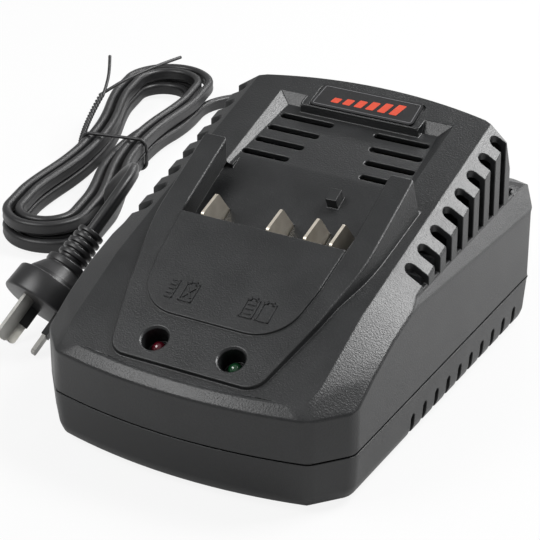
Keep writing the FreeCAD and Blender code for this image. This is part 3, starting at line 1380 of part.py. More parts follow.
pins = {}
sleeves = []
for name, side in (("active_pin", 1), ("neutral_pin", -1)):
    spot = (side * s("pin_offset"), -s("pin_down"), 90 - side * s("pin_splay"))
    pins[name] = pin_solid(s("pin_width"), s("pin_thick"), -s("pin_root"), s("pin_length"), *spot)
    wide, deep = s("pin_width") + 2 * s("sleeve_wall"), s("pin_thick") + 2 * s("sleeve_wall")
    tube = Part.makeBox(wide, deep, s("sleeve_length"), V(-wide / 2, -deep / 2, 0))
    tube.Placement = plug_frame.multiply(FreeCAD.Placement(V(spot[0], spot[1], 0), FreeCAD.Rotation(V(0, 0, 1), spot[2])))
    sleeves.append(tube.cut(pins[name]))
pins["earth_pin"] = pin_solid(s("pin_width"), s("pin_thick"), -s("pin_root"), s("earth_length"), 0, s("earth_up"), 90)
feature("plug_body", plug_body().cut(list(pins.values())))
for name, solid in pins.items():
    feature(name, solid)
feature("pin_sleeves", Part.makeCompound(sleeves))

# Hank: one unbroken cord through all its runs and turns

hank_frame = FreeCAD.Placement(V(s("hank_x"), at(s("hank_y")), 0), FreeCAD.Rotation(V(0, 0, 1), s("hank_turn")))


def biarc(a, ta, b, tb):
    """Two arcs from a to b that leave and arrive along the given ways."""
    v = b - a
    t = ta + tb
    k = 2 * (1 - ta.dot(tb))
    if k < 1e-9:
        d = v.dot(v) / (4 * v.dot(tb))
    else:
        d = (-v.dot(t) + math.sqrt(v.dot(t) ** 2 + k * v.dot(v))) / k
    middle = (a + b + (ta - tb) * d) * 0.5
    edges = []
    for start, way, end in ((a, ta, middle), (middle, None, b)):
        if way is None:
            way = b - tb * d - middle
            way.normalize()
        edges.append(touching_arc(start, way, end))
    return edges


def touching_arc(start, way, end):
    """Arc from start to end that leaves along the given way."""
    chord = end - start
    across = chord - way * chord.dot(way)
    if across.Length < 1e-6:
        return Part.LineSegment(start, end).toShape()
    across.normalize()
    radius = chord.dot(chord) / (2 * chord.dot(across))
    centre = start + across * radius
    to_middle = (start + end) * 0.5 - centre
    if to_middle.Length < 1e-6:
        to_middle = V(way)
    to_middle.normalize()
    turns.append(abs(radius))
    return Part.Arc(start, centre + to_middle * abs(radius), end).toShape()


turns = []


def hank_stations():
    """Points with their ways along the cord: the ends and the waist of every run."""
    runs = int(s("hank_runs"))
    inmost = (runs - 1) // 2
    stations = []
    for i in range(runs):
        inward = min(i, runs - 1 - i)
        side = 1 if i % 2 == 0 else -1
        offset = s("hank_half") - inward * s("hank_pitch") / 2
        waist = offset - s("hank_draw")
        low = s("hank_low")
        high = low + s("hank_layer")
        z0 = low if i <= inmost else high
        z1 = low if i < inmost else high
        way = -side
        reach = s("hank_reach")
        start = s("hank_start") if i == 0 else reach
        finish = s("hank_start") if i == runs - 1 else reach
        stations.append((V(side * offset, -way * start, z0), V(0, way, 0)))
        rise = V(0, way * reach, (z1 - z0) / 2)
        rise.normalize()
        stations.append((V(side * waist, 0, (z0 + z1) / 2), rise))
        stations.append((V(side * offset, way * finish, z1), V(0, way, 0)))
    return stations


stations = hank_stations()
hank_edges = []
for (a, ta), (b, tb) in zip(stations, stations[1:]):
    hank_edges += biarc(a, ta, b, tb)
hank_wire = Part.Wire(hank_edges)
hank_solid = sweep(hank_wire, cord_section(stations[0][0], stations[0][1]))
hank_solid.Placement = hank_frame
feature("cord_hank", hank_solid)
print("hank: length %.1f, least radius %.1f, volume over section x length %.3f" % (
    hank_wire.Length, min(turns), hank_solid.Volume / (hank_wire.Length * section_area())))


def least_gap(wire, step=1.5, apart=14.0):
    """Least distance between the sides of the cord at places far apart along it."""
    points = wire.discretize(Distance=step)
    skip = int(apart / step)
    least = 1000.0
    for i, p in enumerate(points):
        for q in points[i + skip:]:
            across = math.hypot(p.x - q.x, p.y - q.y) - s("cord_thick")
            upward = abs(p.z - q.z) - s("cord_width")
            least = min(least, max(across, upward))
    return least


print("hank: least gap to itself %.2f" % least_gap(hank_wire))

hank_in = hank_frame.multVec(stations[0][0])
hank_in_way = hank_frame.Rotation.multVec(stations[0][1])
hank_out = hank_frame.multVec(stations[-1][0])
hank_out_way = hank_frame.Rotation.multVec(stations[-1][1])

cord_points = [
    mouth, mouth + V(0, 19, 0), mouth + V(-8, 43, -7.4), mouth + V(-30, 75, -9),
    V(-97, 226, hank_in.z - 1.2), V(-132, 230, hank_in.z - 0.8), hank_in - hank_in_way * 33, hank_in,
]
cord_points[6].z = hank_in.z
cord_wire = tangent_arcs(cord_points)
cord_solid = sweep(cord_wire, cord_section(mouth, V(0, 1, 0)))
feature("cord", cord_solid)
tail_points = [
    hank_out, hank_out + hank_out_way * 20, V(-120, 48, 30), V(-100, 38, 50), plug_end - plug_way * 30, plug_end,
]
tail_wire = tangent_arcs(tail_points)
tail_solid = sweep(tail_wire, cord_section(hank_out, hank_out_way))
feature("cord_tail", tail_solid)
for name, wire, solid in (("cord", cord_wire, cord_solid), ("cord_tail", tail_wire, tail_solid)):
    print("%s: length %.1f, volume over section x length %.3f" % (
        name, wire.Length, solid.Volume / (wire.Length * section_area())))
print("radii", [round(r, 1) for r in radii])
for name, points in (("cord", cord_points), ("cord_tail", tail_points)):
    print(name, [(round(p.x, 2), round(p.y, 2), round(p.z, 2)) for p in points])


def twist_tie():
    """Wire tie round the waist, twisted at its left, with two free ends."""
    gap = s("tie_gap") + s("tie_d") / 2
    right = s("hank_half") - s("hank_draw") + s("cord_thick") / 2 + gap
    left = -(s("hank_half") - s("hank_pitch") / 2 - s("hank_draw") + s("cord_thick") / 2 + gap)
    low = s("hank_low") - s("cord_width") / 2 - gap
    high = s("hank_low") + s("hank_layer") + s("cord_width") / 2 + gap
    wire = rounded_outline([(left, low, 3), (right, low, 3), (right, high, 3), (left, high, 3)])
    wire.rotate(V(0, 0, 0), V(1, 0, 0), 90)
    first = wire.Edges[0]
    start = first.valueAt(first.FirstParameter)
    way = first.tangentAt(first.FirstParameter)
    ring = sweep(wire, flat_section(start, way, s("tie_d")))
    knot = V(left - 0.9, 0, (low + high) / 2 + 2)
    twist = [knot, knot + V(-2, 10, 5), knot + V(-2, 34, 11)]
    ends = [
        [twist[-1], twist[-1] + V(-1, 12, 6), twist[-1] + V(-5, 30, 16)],
        [twist[-1], twist[-1] + V(8, 12, 4), twist[-1] + V(22, 34, 7), twist[-1] + V(32, 56, 7)],
    ]
    solids = [ring]
    for points, diameter in ((twist, s("tie_d") * 1.6), (ends[0], s("tie_d")), (ends[1], s("tie_d"))):
        way = points[1] - points[0]
        solids.append(sweep(tangent_arcs(points), flat_section(points[0], way, diameter)))
    for middle in (twist[-1], knot):
        solids.append(Part.makeCylinder(s("tie_d"), 2 * s("tie_d"), middle - V(0, s("tie_d"), 0), V(0, 1, 0)))
    solid = solids[0].fuse(solids[1:])
    solid.Placement = hank_frame
    return solid


feature("twist_tie", twist_tie())

# Checks and files

doc.recompute()
for item in doc.Objects:
    if "Invalid" in item.State or "Error" in item.State:
        raise RuntimeError("%s is %s" % (item.Label, item.State))
for piece in pieces:
    shape = piece.Shape
    if shape.isNull() or not shape.isValid() or not shape.Solids:
        raise RuntimeError("%s has no valid solid" % piece.Label)
    print("%-22s %2d solid(s) %10.1f mm3 %4d faces" % (
        piece.Label, len(shape.Solids), shape.Volume, len(shape.Faces)))
os.makedirs("parts", exist_ok=True)
for piece in pieces:
    piece.Shape.exportStep("parts/%s.step" % piece.Label)
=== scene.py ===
import json
import math

import bmesh
import bpy
from mathutils import Matrix, Vector


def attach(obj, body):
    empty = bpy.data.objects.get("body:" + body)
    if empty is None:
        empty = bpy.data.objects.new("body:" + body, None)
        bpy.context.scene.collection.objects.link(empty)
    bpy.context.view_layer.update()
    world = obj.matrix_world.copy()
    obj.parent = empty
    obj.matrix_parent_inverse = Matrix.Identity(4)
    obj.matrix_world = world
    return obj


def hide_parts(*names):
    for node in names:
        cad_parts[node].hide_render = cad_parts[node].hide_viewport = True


# Battery charger with a sloping bay, four blade contacts and a flat mains cord tied in a hank.
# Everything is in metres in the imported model's frame; MM turns the drawing's millimetres into it.

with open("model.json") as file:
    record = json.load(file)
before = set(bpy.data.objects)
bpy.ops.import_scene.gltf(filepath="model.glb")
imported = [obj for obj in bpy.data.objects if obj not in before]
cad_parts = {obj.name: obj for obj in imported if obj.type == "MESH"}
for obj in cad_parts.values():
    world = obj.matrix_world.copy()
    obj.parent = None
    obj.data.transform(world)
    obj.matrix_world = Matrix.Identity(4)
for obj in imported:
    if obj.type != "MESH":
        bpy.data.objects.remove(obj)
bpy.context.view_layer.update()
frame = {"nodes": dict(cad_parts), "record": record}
NODES = frame["nodes"]
MM = 0.001

# Camera: the photograph's place and direction. Its focal length is in pixels, like the picture's side.
CAMERA_PLACE = Vector((344.9, -648.0, 426.2)) * MM
CAMERA_AZIMUTH, CAMERA_HEIGHT = math.radians(28.95), math.radians(27.57)
PHOTO_SIDE, PHOTO_FOCUS = 540, 2115
SENSOR = 36.0

camera_data = bpy.data.cameras.new("camera")
camera = bpy.data.objects.new("camera", camera_data)
bpy.context.scene.collection.objects.link(camera)
bpy.context.scene.camera = camera
camera_data.sensor_width = SENSOR
camera_data.lens = SENSOR * PHOTO_FOCUS / PHOTO_SIDE
camera_data.clip_start, camera_data.clip_end = 0.05, 20.0
camera_back = Vector((
    math.sin(CAMERA_AZIMUTH) * math.cos(CAMERA_HEIGHT),
    -math.cos(CAMERA_AZIMUTH) * math.cos(CAMERA_HEIGHT),
    math.sin(CAMERA_HEIGHT),
))
camera.location = CAMERA_PLACE
camera.rotation_mode = "QUATERNION"
camera.rotation_quaternion = (-camera_back).to_track_quat("-Z", "Y")


def linear(code):
    """An sRGB hex colour as the linear RGBA that the shader takes."""
    parts = [int(code[i:i + 2], 16) / 255 for i in (1, 3, 5)]
    return tuple(p / 12.92 if p <= 0.04045 else ((p + 0.055) / 1.055) ** 2.4 for p in parts) + (1.0,)


def add(tree, kind, links=None, **settings):
    """Add a node; settings go on its attributes, and links on its inputs, as values or other outputs."""
    made = tree.nodes.new(kind)
    for name, value in settings.items():
        setattr(made, name, value)
    for name, value in (links or {}).items():
        if isinstance(value, bpy.types.NodeSocket):
            tree.links.new(value, made.inputs[name])
        else:
            made.inputs[name].default_value = value
    return made


def finish_of(name, **surface):
    """New material with its shader; surface gives what is the same all over."""
    material = bpy.data.materials.new(name)
    material.use_nodes = True
    tree = material.node_tree
    shader = tree.nodes["Principled BSDF"]
    for key, value in surface.items():
        shader.inputs[key.replace("_", " ")].default_value = value
    return material, tree, shader


def per_mm(size):
    """Texture scale at which one grain of a noise is that many millimetres."""
    return 1.0 / (size * MM)


# How far the two patterns, multiplied, spread a plastic's shade, and how far its gloss wanders each way.
PLASTIC_DARK_AT, PLASTIC_LIGHT_AT = 0.12, 0.40
PLASTIC_GLOSSIER, PLASTIC_DULLER = 0.05, 0.06


def grained(name, dark, light, grain, depth, rough, mottle=14.0, coat=0.0):
    """Plastic, rubber or the like: a fine grain in its surface and a slow change of shade and gloss.

    The grain, its depth and the mottle are in millimetres.
    """
    material, tree, shader = finish_of(name, IOR=1.5)
    place = add(tree, "ShaderNodeTexCoord").outputs["Object"]
    slow = add(tree, "ShaderNodeTexNoise", {"Vector": place, "Scale": per_mm(mottle), "Detail": 3.0})
    fine = add(tree, "ShaderNodeTexNoise", {"Vector": place, "Scale": per_mm(grain), "Detail": 2.0,
                                            "Roughness": 0.6})
    slow_shade, fine_shade = slow.outputs["Fac"], fine.outputs["Fac"]
    blend = add(tree, "ShaderNodeMath", {0: slow_shade, 1: fine_shade}, operation="MULTIPLY")
    ramp = add(tree, "ShaderNodeValToRGB", {"Fac": blend.outputs[0]})
    low, high = ramp.color_ramp.elements
    low.position, low.color = PLASTIC_DARK_AT, linear(dark)
    high.position, high.color = PLASTIC_LIGHT_AT, linear(light)
    gloss = add(tree, "ShaderNodeMapRange", {"Value": slow_shade, "To Min": rough - PLASTIC_GLOSSIER,
                                             "To Max": rough + PLASTIC_DULLER})
    bump = add(tree, "ShaderNodeBump", {"Height": fine_shade, "Strength": 1.0, "Distance": depth * MM})
    tree.links.new(ramp.outputs["Color"], shader.inputs["Base Color"])
    tree.links.new(gloss.outputs["Result"], shader.inputs["Roughness"])
    tree.links.new(bump.outputs["Normal"], shader.inputs["Normal"])
    shader.inputs["Coat Weight"].default_value = coat
    return material


# How many times longer than wide a rolled metal's lines are, the size of its patches of tone, and its spread.
LINE_STRETCH, TONE_PATCH = 12.0, 6.0
METAL_DARK_AT, METAL_LIGHT_AT = 0.3, 0.7
METAL_GLOSSIER, METAL_DULLER = 0.06, 0.08


def metal(name, colour, shade, rough, brush, depth):
    """Rolled or plated metal: fine lines along X, and a faint change of tone.

    The width of a line and the depth are in millimetres.
    """
    material, tree, shader = finish_of(name, Metallic=1.0)
    place = add(tree, "ShaderNodeTexCoord").outputs["Object"]
    drawn = add(tree, "ShaderNodeMapping", {"Vector": place, "Scale": (1.0, LINE_STRETCH, LINE_STRETCH)})
    lines = add(tree, "ShaderNodeTexNoise", {"Vector": drawn.outputs["Vector"],
                                             "Scale": per_mm(brush * LINE_STRETCH), "Detail": 3.0})
    tone = add(tree, "ShaderNodeTexNoise", {"Vector": place, "Scale": per_mm(TONE_PATCH), "Detail": 2.0})
    ramp = add(tree, "ShaderNodeValToRGB", {"Fac": tone.outputs["Fac"]})
    low, high = ramp.color_ramp.elements
    low.position, low.color = METAL_DARK_AT, linear(shade)
    high.position, high.color = METAL_LIGHT_AT, linear(colour)
    line_height = lines.outputs["Fac"]
    gloss = add(tree, "ShaderNodeMapRange", {"Value": line_height, "To Min": rough - METAL_GLOSSIER,
                                             "To Max": rough + METAL_DULLER})
    bump = add(tree, "ShaderNodeBump", {"Height": line_height, "Strength": 1.0, "Distance": depth * MM})
    tree.links.new(ramp.outputs["Color"], shader.inputs["Base Color"])
    tree.links.new(gloss.outputs["Result"], shader.inputs["Roughness"])
    tree.links.new(bump.outputs["Normal"], shader.inputs["Normal"])
    return material


# ABS, moulded in a spark-eroded tool: an even matt grain, a little lighter on its peaks. The grain is drawn
# coarser than the real one, which is too fine to show at this distance.
spark_abs = grained("spark_textured_abs", "#18191a", "#222324", grain=0.65, depth=0.12, rough=0.36)
# ABS, moulded in a finer tool: the tray looks smoother and a little darker.
satin_abs = grained("satin_abs", "#161718", "#1d1e1f", grain=0.5, depth=0.07, rough=0.40)
# Plasticised PVC, extruded over two cores: semi-gloss, with faint drawing marks.
cord_pvc = grained("extruded_pvc", "#1b1b1c", "#232324", grain=1.2, depth=0.03, rough=0.40, mottle=20.0)
# PVC, moulded round the cord end: smooth satin with a soft sheen.
plug_pvc = grained("moulded_pvc", "#1a1a1b", "#212122", grain=0.6, depth=0.02, rough=0.36)
# PVC-coated wire of the tie.
tie_pvc = grained("coated_wire_pvc", "#232324", "#2a2a2b", grain=0.6, depth=0.02, rough=0.4)
# Nylon, moulded: the pin sleeves and the contact block.
black_nylon = grained("moulded_nylon", "#161617", "#1c1c1d", grain=0.5, depth=0.01, rough=0.35)
# Polycarbonate with a smooth face: the name plate.
badge_gloss = grained("smooth_polycarbonate", "#1d1d1e", "#222223", grain=2.0, depth=0.002, rough=0.28)
# Screen-printed ink on the plate: a grey border and orange-red bars.
grey_print = grained("printed_grey_ink", "#5a5a5c", "#626264", grain=0.4, depth=0.002, rough=0.45)
orange_print = grained("printed_orange_ink", "#bd3f27", "#c7472d", grain=0.4, depth=0.002, rough=0.45)
# Rubber, pressed: dull, with a dusty bloom.
foot_rubber = grained("pressed_rubber", "#1b1b1b", "#262626", grain=0.5, depth=0.03, rough=0.8)
# Steel with bright nickel, rolled and stamped: the bay blades.
blade_nickel = metal("nickel_plated_steel", "#ded7ca", "#c9c1b3", rough=0.44, brush=0.15, depth=0.002)
# Brass with nickel, stamped: the plug pins.
pin_nickel = metal("nickel_plated_brass", "#bdbcb8", "#abaaa6", rough=0.3, brush=0.12, depth=0.002)
# Zinc-plated steel screws.
screw_zinc = metal("zinc_plated_steel", "#b8babd", "#a2a4a8", rough=0.35, brush=0.2, depth=0.004)
# Extruded aluminium heat sinks.
sink_aluminium = metal("extruded_aluminium", "#c9cacc", "#b9babd", rough=0.38, brush=0.2, depth=0.006)
# Glass-fibre laminate under green solder mask.
laminate = grained("solder_mask_laminate", "#1f4f30", "#2a6a40", grain=0.8, depth=0.01, rough=0.4, coat=0.3)
# Sintered and ground ferrite.
ferrite = grained("sintered_ferrite", "#2b2b2e", "#38383b", grain=0.5, depth=0.02, rough=0.6)
# Polyester tape round the winding.
coil_tape = grained("polyester_tape", "#b89a2c", "#c9ac3a", grain=1.5, depth=0.02, rough=0.4)
# Shrink sleeve on aluminium cans.
can_sleeve = grained("pet_shrink_sleeve", "#20243a", "#2a2f48", grain=1.5, depth=0.01, rough=0.3, coat=0.4)
# Polyester box of the film capacitor.
film_box = grained("moulded_polyester", "#b89b22", "#c8ab30", grain=0.8, depth=0.01, rough=0.4)
# Epoxy moulding compound of chips and power devices.
chip_epoxy = grained("moulded_epoxy", "#1d1d1e", "#262627", grain=0.4, depth=0.02, rough=0.55)
# Thermoset fuse body.
fuse_case = grained("moulded_phenolic", "#5a2e1c", "#6a3824", grain=0.6, depth=0.01, rough=0.45)
# Coloured insulation of the inner leads.
lead_pvc = grained("lead_insulation_pvc", "#5e231e", "#6d2a24", grain=0.8, depth=0.01, rough=0.4)


def lens(name, colour, deep):
    """Tinted epoxy of an unlit lamp: clear and glossy, darker where it is thick."""
    material, tree, shader = finish_of(name, Roughness=0.06, IOR=1.5)
    shader.inputs["Transmission Weight"].default_value = 0.35
    shader.inputs["Coat Weight"].default_value = 0.6
    rim = add(tree, "ShaderNodeLayerWeight", {"Blend": 0.35})
    ramp = add(tree, "ShaderNodeValToRGB", {"Fac": rim.outputs["Facing"]})
    ramp.color_ramp.elements[0].color, ramp.color_ramp.elements[1].color = linear(colour), linear(deep)
    tree.links.new(ramp.outputs["Color"], shader.inputs["Base Color"])
    return material


red_lens = lens("tinted_epoxy_red", "#6e1226", "#3a0612")
green_lens = lens("tinted_epoxy_green", "#1c5a34", "#0c3018")

SURFACES = {
    "case_abs": spark_abs, "tray_abs": satin_abs, "badge": black_nylon, "zinc_steel": screw_zinc,
    "foot_rubber": foot_rubber, "red_lens": red_lens, "green_lens": green_lens, "board_laminate": laminate,
    "contact_metal": blade_nickel, "black_nylon": black_nylon, "ferrite": ferrite, "coil_tape": coil_tape,
    "can_sleeve": can_sleeve, "film_box": film_box, "chip_epoxy": chip_epoxy, "fuse_case": fuse_case,
    "sink_aluminium": sink_aluminium, "lead_pvc": lead_pvc, "cord_pvc": cord_pvc, "plug_pvc": plug_pvc,
    "pin_metal": pin_nickel, "sleeve_plastic": black_nylon, "tie_pvc": tie_pvc,
}
SLOT_OF = {part["node"]: part["material_slot"] for part in frame["record"]["subparts"]}


def dress(piece, material):
    """Give a piece one material in place of any it has."""
    piece.data.materials.clear()
    piece.data.materials.append(material)
    return piece


for name, solid in NODES.items():
    dress(solid, SURFACES[SLOT_OF[name]])


def mounted(piece, slot, *nodes, material=None):
    """Let a new piece ride on the charger, stand for its nodes and take its finish."""
    if material is not None:
        dress(piece, material)
    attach(piece, "root")
    if nodes:
        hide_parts(*nodes)
    return piece


# Widest edge radius in millimetres: the others are shares of it, as the bevel takes them.
WIDEST = 3.0
# Points closer than this, in metres, are one point, and faces that turn less than this are one face.
WELD, FLAT_TURN = 2e-6, math.radians(0.6)


def edge_rounded(name, node, radius_of, gap=None):
    """Copy of a solid with a moulding's radii on its edges; radius_of gives an edge's radius in millimetres.

    With a gap (foot, head, lift), corners under the foot whose wall runs up past the head are lifted.
    """
    mesh = bmesh.new()
    mesh.from_mesh(NODES[node].data)
    bmesh.ops.remove_doubles(mesh, verts=mesh.verts, dist=WELD)
    bmesh.ops.dissolve_limit(mesh, angle_limit=FLAT_TURN, verts=mesh.verts, edges=mesh.edges)
    if gap:
        foot, head, lift = (size * MM for size in gap)
        for corner in mesh.verts:
            if corner.co.z < foot and any(e.other_vert(corner).co.z > head for e in corner.link_edges):
                corner.co.z += lift
    share = mesh.edges.layers.float.new("bevel_weight_edge")
    for edge in mesh.edges:
        if len(edge.link_faces) == 2:
            a, b = (corner.co / MM for corner in edge.verts)
            turn = math.degrees(edge.calc_face_angle(0))
            edge[share] = radius_of((a + b) / 2, (b - a).normalized(), turn, edge.is_convex) / WIDEST
    data = bpy.data.meshes.new(name + "_sharp")
    mesh.to_mesh(data)
    mesh.free()
    sharp = bpy.data.objects.new(name + "_sharp", data)
    bpy.context.scene.collection.objects.link(sharp)
    radii = sharp.modifiers.new("moulding_radii", "BEVEL")
    radii.limit_method, radii.offset_type, radii.affect = "WEIGHT", "OFFSET", "EDGES"
    radii.width, radii.segments, radii.profile = WIDEST * MM, 3, 0.5
    radii.use_clamp_overlap, radii.loop_slide = False, True
    rounded = bpy.data.meshes.new_from_object(sharp.evaluated_get(bpy.context.evaluated_depsgraph_get()))
    rounded.name = name
    bpy.data.objects.remove(sharp)
    return smooth_piece(name, rounded, even=True)


# A flat piece's edges are broken where they turn more than this.
BROKEN_TURN = math.radians(30.0)


def break_edges(mesh, width):
    """Round every edge that turns more than a little, by a width in millimetres."""
    sharp = [e for e in mesh.edges if len(e.link_faces) == 2 and e.calc_face_angle(0) > BROKEN_TURN]
    bmesh.ops.bevel(mesh, geom=sharp, offset=width * MM, offset_type="OFFSET", segments=2, profile=0.5,
                    affect="EDGES", clamp_overlap=False, loop_slide=True)


def smooth_piece(name, data, even=False, angle=50.0):
    """Object from a mesh, smooth except over clear edges."""
    piece = bpy.data.objects.new(name, data)
    bpy.context.scene.collection.objects.link(piece)
    data.shade_smooth()
    data.set_sharp_from_angle(angle=math.radians(angle))
    if even:
        normals = piece.modifiers.new("even_normals", "WEIGHTED_NORMAL")
        normals.keep_sharp = True
    return piece


def softened(corners, closed=True, steps=5):
    """Outline through (x, y, radius) corners with each corner rounded."""
    points = []
    count = len(corners)
    for i, (x, y, radius) in enumerate(corners):
        here = Vector((x, y))
        if radius <= 0 or (not closed and i in (0, count - 1)):
            points.append(here)
            continue
        back = (Vector(corners[i - 1][:2]) - here).normalized()
        ahead = (Vector(corners[(i + 1) % count][:2]) - here).normalized()
        half = back.angle(ahead) / 2
        reach = radius / math.tan(half)
        centre = here + (back + ahead).normalized() * (radius / math.sin(half))
        start, end = here + back * reach - centre, here + ahead * reach - centre
        sweep = math.pi - 2 * half
        side = 1 if start.x * end.y - start.y * end.x > 0 else -1
        for k in range(steps + 1):
            turn = Matrix.Rotation(side * sweep * k / steps, 2)
            points.append(centre + turn @ start)
    return points


# A turned profile's point nearer its axis than this, in millimetres, is on it.
ON_AXIS = 1e-6


def turned_piece(name, profile, place, steps):
    """Round piece from (radius, height) points, turned about its own Z."""
    mesh = bmesh.new()
    rings = []
    for radius, height in profile:
        if radius < ON_AXIS:
            rings.append([mesh.verts.new((0, 0, height * MM))])
            continue
        rings.append([mesh.verts.new((radius * MM * math.cos(2 * math.pi * k / steps),
                                      radius * MM * math.sin(2 * math.pi * k / steps), height * MM))
                      for k in range(steps)])
    for low, high in zip(rings, rings[1:]):
        for k in range(steps):
            a, b = low[k % len(low)], low[(k + 1) % len(low)]
            c, d = high[(k + 1) % len(high)], high[k % len(high)]
            corners = list(dict.fromkeys((a, b, c, d)))
            if len(corners) > 2:
                mesh.faces.new(corners)
    return placed_mesh(name, mesh, place)


def placed_mesh(name, mesh, place, even=False, angle=50.0):
    """Object from a finished mesh, at its place; the mesh is used up."""
    bmesh.ops.recalc_face_normals(mesh, faces=mesh.faces)
    data = bpy.data.meshes.new(name)
    mesh.to_mesh(data)
    mesh.free()
    piece = smooth_piece(name, data, even, angle)
    piece.matrix_world = place
    return piece


def slab(name, outline, thick, place, edge=0.0):
    """Flat piece with the given outline in its own XY plane, half its thickness each side of it."""
    mesh = bmesh.new()
    low = [mesh.verts.new((x * MM, y * MM, -thick / 2 * MM)) for x, y in outline]
    high = [mesh.verts.new((x * MM, y * MM, thick / 2 * MM)) for x, y in outline]
    mesh.faces.new(low[::-1])
    mesh.faces.new(high)
    for i in range(len(low)):
        k = (i + 1) % len(low)
        mesh.faces.new((low[i], low[k], high[k], high[i]))
    if edge:
        break_edges(mesh, edge)
    return placed_mesh(name, mesh, place, even=True)


def frame_of(place, x_way, y_way):
    """Placement, in metres, from a place in millimetres and two of its axes."""
    x_way, y_way = Vector(x_way).normalized(), Vector(y_way).normalized()
    z_way = x_way.cross(y_way)
    turn = Matrix((x_way, y_way, z_way)).transposed().to_4x4()
    return Matrix.Translation(Vector(place) * MM) @ turn


def joined(name, pieces):
    """One object from several meshes, each where it stands; the pieces are used up."""
    mesh = bmesh.new()
    for piece in pieces:
        part = piece.data.copy()
        part.transform(piece.matrix_world)
        mesh.from_mesh(part)
        bpy.data.meshes.remove(part)
    for piece in pieces:
        bpy.data.objects.remove(piece)
    data = bpy.data.meshes.new(name)
    mesh.to_mesh(data)
    mesh.free()
    piece = bpy.data.objects.new(name, data)
    bpy.context.scene.collection.objects.link(piece)
    return piece


# Cord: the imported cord's route in millimetres, from gland to hank and from hank to plug.
CORD_WIDE, CORD_NARROW = 6.2, 4.0
TO_HANK = [(-30.0, 130.0, 13.0), (-30.0, 149.0, 13.0), (-38.0, 173.0, 5.6), (-60.0, 205.0, 4.0),
           (-97.0, 226.0, 4.0), (-132.0, 230.0, 4.4), (-162.21, 203.97, 5.2), (-155.35, 171.69, 5.2)]
TO_PLUG = [(-136.64, 83.66, 12.2), (-132.48, 64.1, 12.2), (-120.0, 48.0, 30.0), (-100.0, 38.0, 50.0),
           (-88.59, 18.88, 56.07), (-94.46, -4.67, 38.44)]
HANK_PLACE, HANK_TURN = Vector((-168.0, 123.0, 0.0)), math.radians(12.0)
HANK_RUNS, HANK_HALF, HANK_PITCH, HANK_DRAW = 9, 22.5, 5.6, 8.0
HANK_REACH, HANK_LOW, HANK_LAYER = 76.0, 5.2, 7.0
# Corners in a half turn, the share of its reach at which a run has its outer point, and the radius that sets
# how far short of the half turn the run ends.
TURN_CORNERS, STRAIGHT_SHARE, FOLD_R = 4, 0.72, 14.0


def hank_points():
    """Control points of the hank in its own frame: up to six for a run, four for a half turn."""
    inmost = (HANK_RUNS - 1) // 2
    runs = []
    for i in range(HANK_RUNS):
        inward = min(i, HANK_RUNS - 1 - i)
        side = 1 if i % 2 == 0 else -1
        low = HANK_LOW + (HANK_LAYER if i > inmost else 0.0)
        high = HANK_LOW + (HANK_LAYER if i >= inmost else 0.0)
        runs.append((side * (HANK_HALF - inward * HANK_PITCH / 2), side, low, high))
    points = []
    corner = math.pi / TURN_CORNERS / 2
    for i, (x, side, low, high) in enumerate(runs):
        way = -side
        waist = x - side * HANK_DRAW
        near = FOLD_R * math.tan(corner)
        if i > 0:
            points.append((x, -way * (HANK_REACH - near), low))
            points.append((x, -way * HANK_REACH * STRAIGHT_SHARE, low))
        points.append((waist, -way * HANK_REACH / 4, low + (high - low) / 3))
        points.append((waist, way * HANK_REACH / 4, low + (high - low) * 2 / 3))
        if i == HANK_RUNS - 1:
            break
        points.append((x, way * HANK_REACH * STRAIGHT_SHARE, high))
        points.append((x, way * (HANK_REACH - near), high))
        ahead = runs[i + 1][0]
        centre, radius = (x + ahead) / 2, abs(x - ahead) / 2
        for k in range(TURN_CORNERS):
            angle = corner * (2 * k + 1)
            reach = radius / math.cos(corner)
            points.append((centre + side * reach * math.cos(angle),
                           way * (HANK_REACH + reach * math.sin(angle)), high))
    return points


def from_hank(point):
    """Point of the hank's own frame, in the charger's."""
    return HANK_PLACE + Matrix.Rotation(HANK_TURN, 3, "Z") @ Vector(point)


def curve_piece(name, points, steps, profile=None, radius=None, cyclic=False):
    """Smooth cord or wire along control points in millimetres."""
    data = bpy.data.curves.new(name, "CURVE")
    data.dimensions = "3D"
    data.resolution_u = steps
    data.twist_mode = "Z_UP"
    data.use_fill_caps = True
    spline = data.splines.new("NURBS")
    spline.points.add(len(points) - 1)
    for place, point in zip(spline.points, points):
        place.co = (*(Vector(point) * MM), 1.0)
    spline.use_cyclic_u = cyclic
    spline.order_u = 3
    spline.use_endpoint_u = not cyclic
    if profile is not None:
        data.bevel_mode = "OBJECT"
        data.bevel_object = profile
    else:
        data.bevel_depth = radius * MM
        data.bevel_resolution = 3
    piece = bpy.data.objects.new(name, data)
    bpy.context.scene.collection.objects.link(piece)
    return piece


def flat_profile():
    """Section of the flat cord: two broad faces with a shallow hollow, and full round edges."""
    data = bpy.data.curves.new("cord_section", "CURVE")
    data.dimensions = "2D"
    a, b = CORD_NARROW / 2, CORD_WIDE / 2
    corners = []
    for sx, sy in ((1, 1), (-1, 1), (-1, -1), (1, -1)):
        quarter = [(a * 0.93, 0.35), (a, b - 1.5), (a * 0.86, b - 0.62), (a * 0.45, b - 0.08), (0.12, b)]
        quarter = quarter if sx * sy > 0 else quarter[::-1]
        corners += [(sx * x, sy * y) for x, y in quarter]
    spline = data.splines.new("POLY")
    spline.points.add(len(corners) - 1)
    for place, (x, y) in zip(spline.points, corners):
        place.co = (x * MM, y * MM, 0.0, 1.0)
    spline.use_cyclic_u = True
    profile = bpy.data.objects.new("cord_section", data)
    bpy.context.scene.collection.objects.link(profile)
    profile.hide_render = True
    return profile


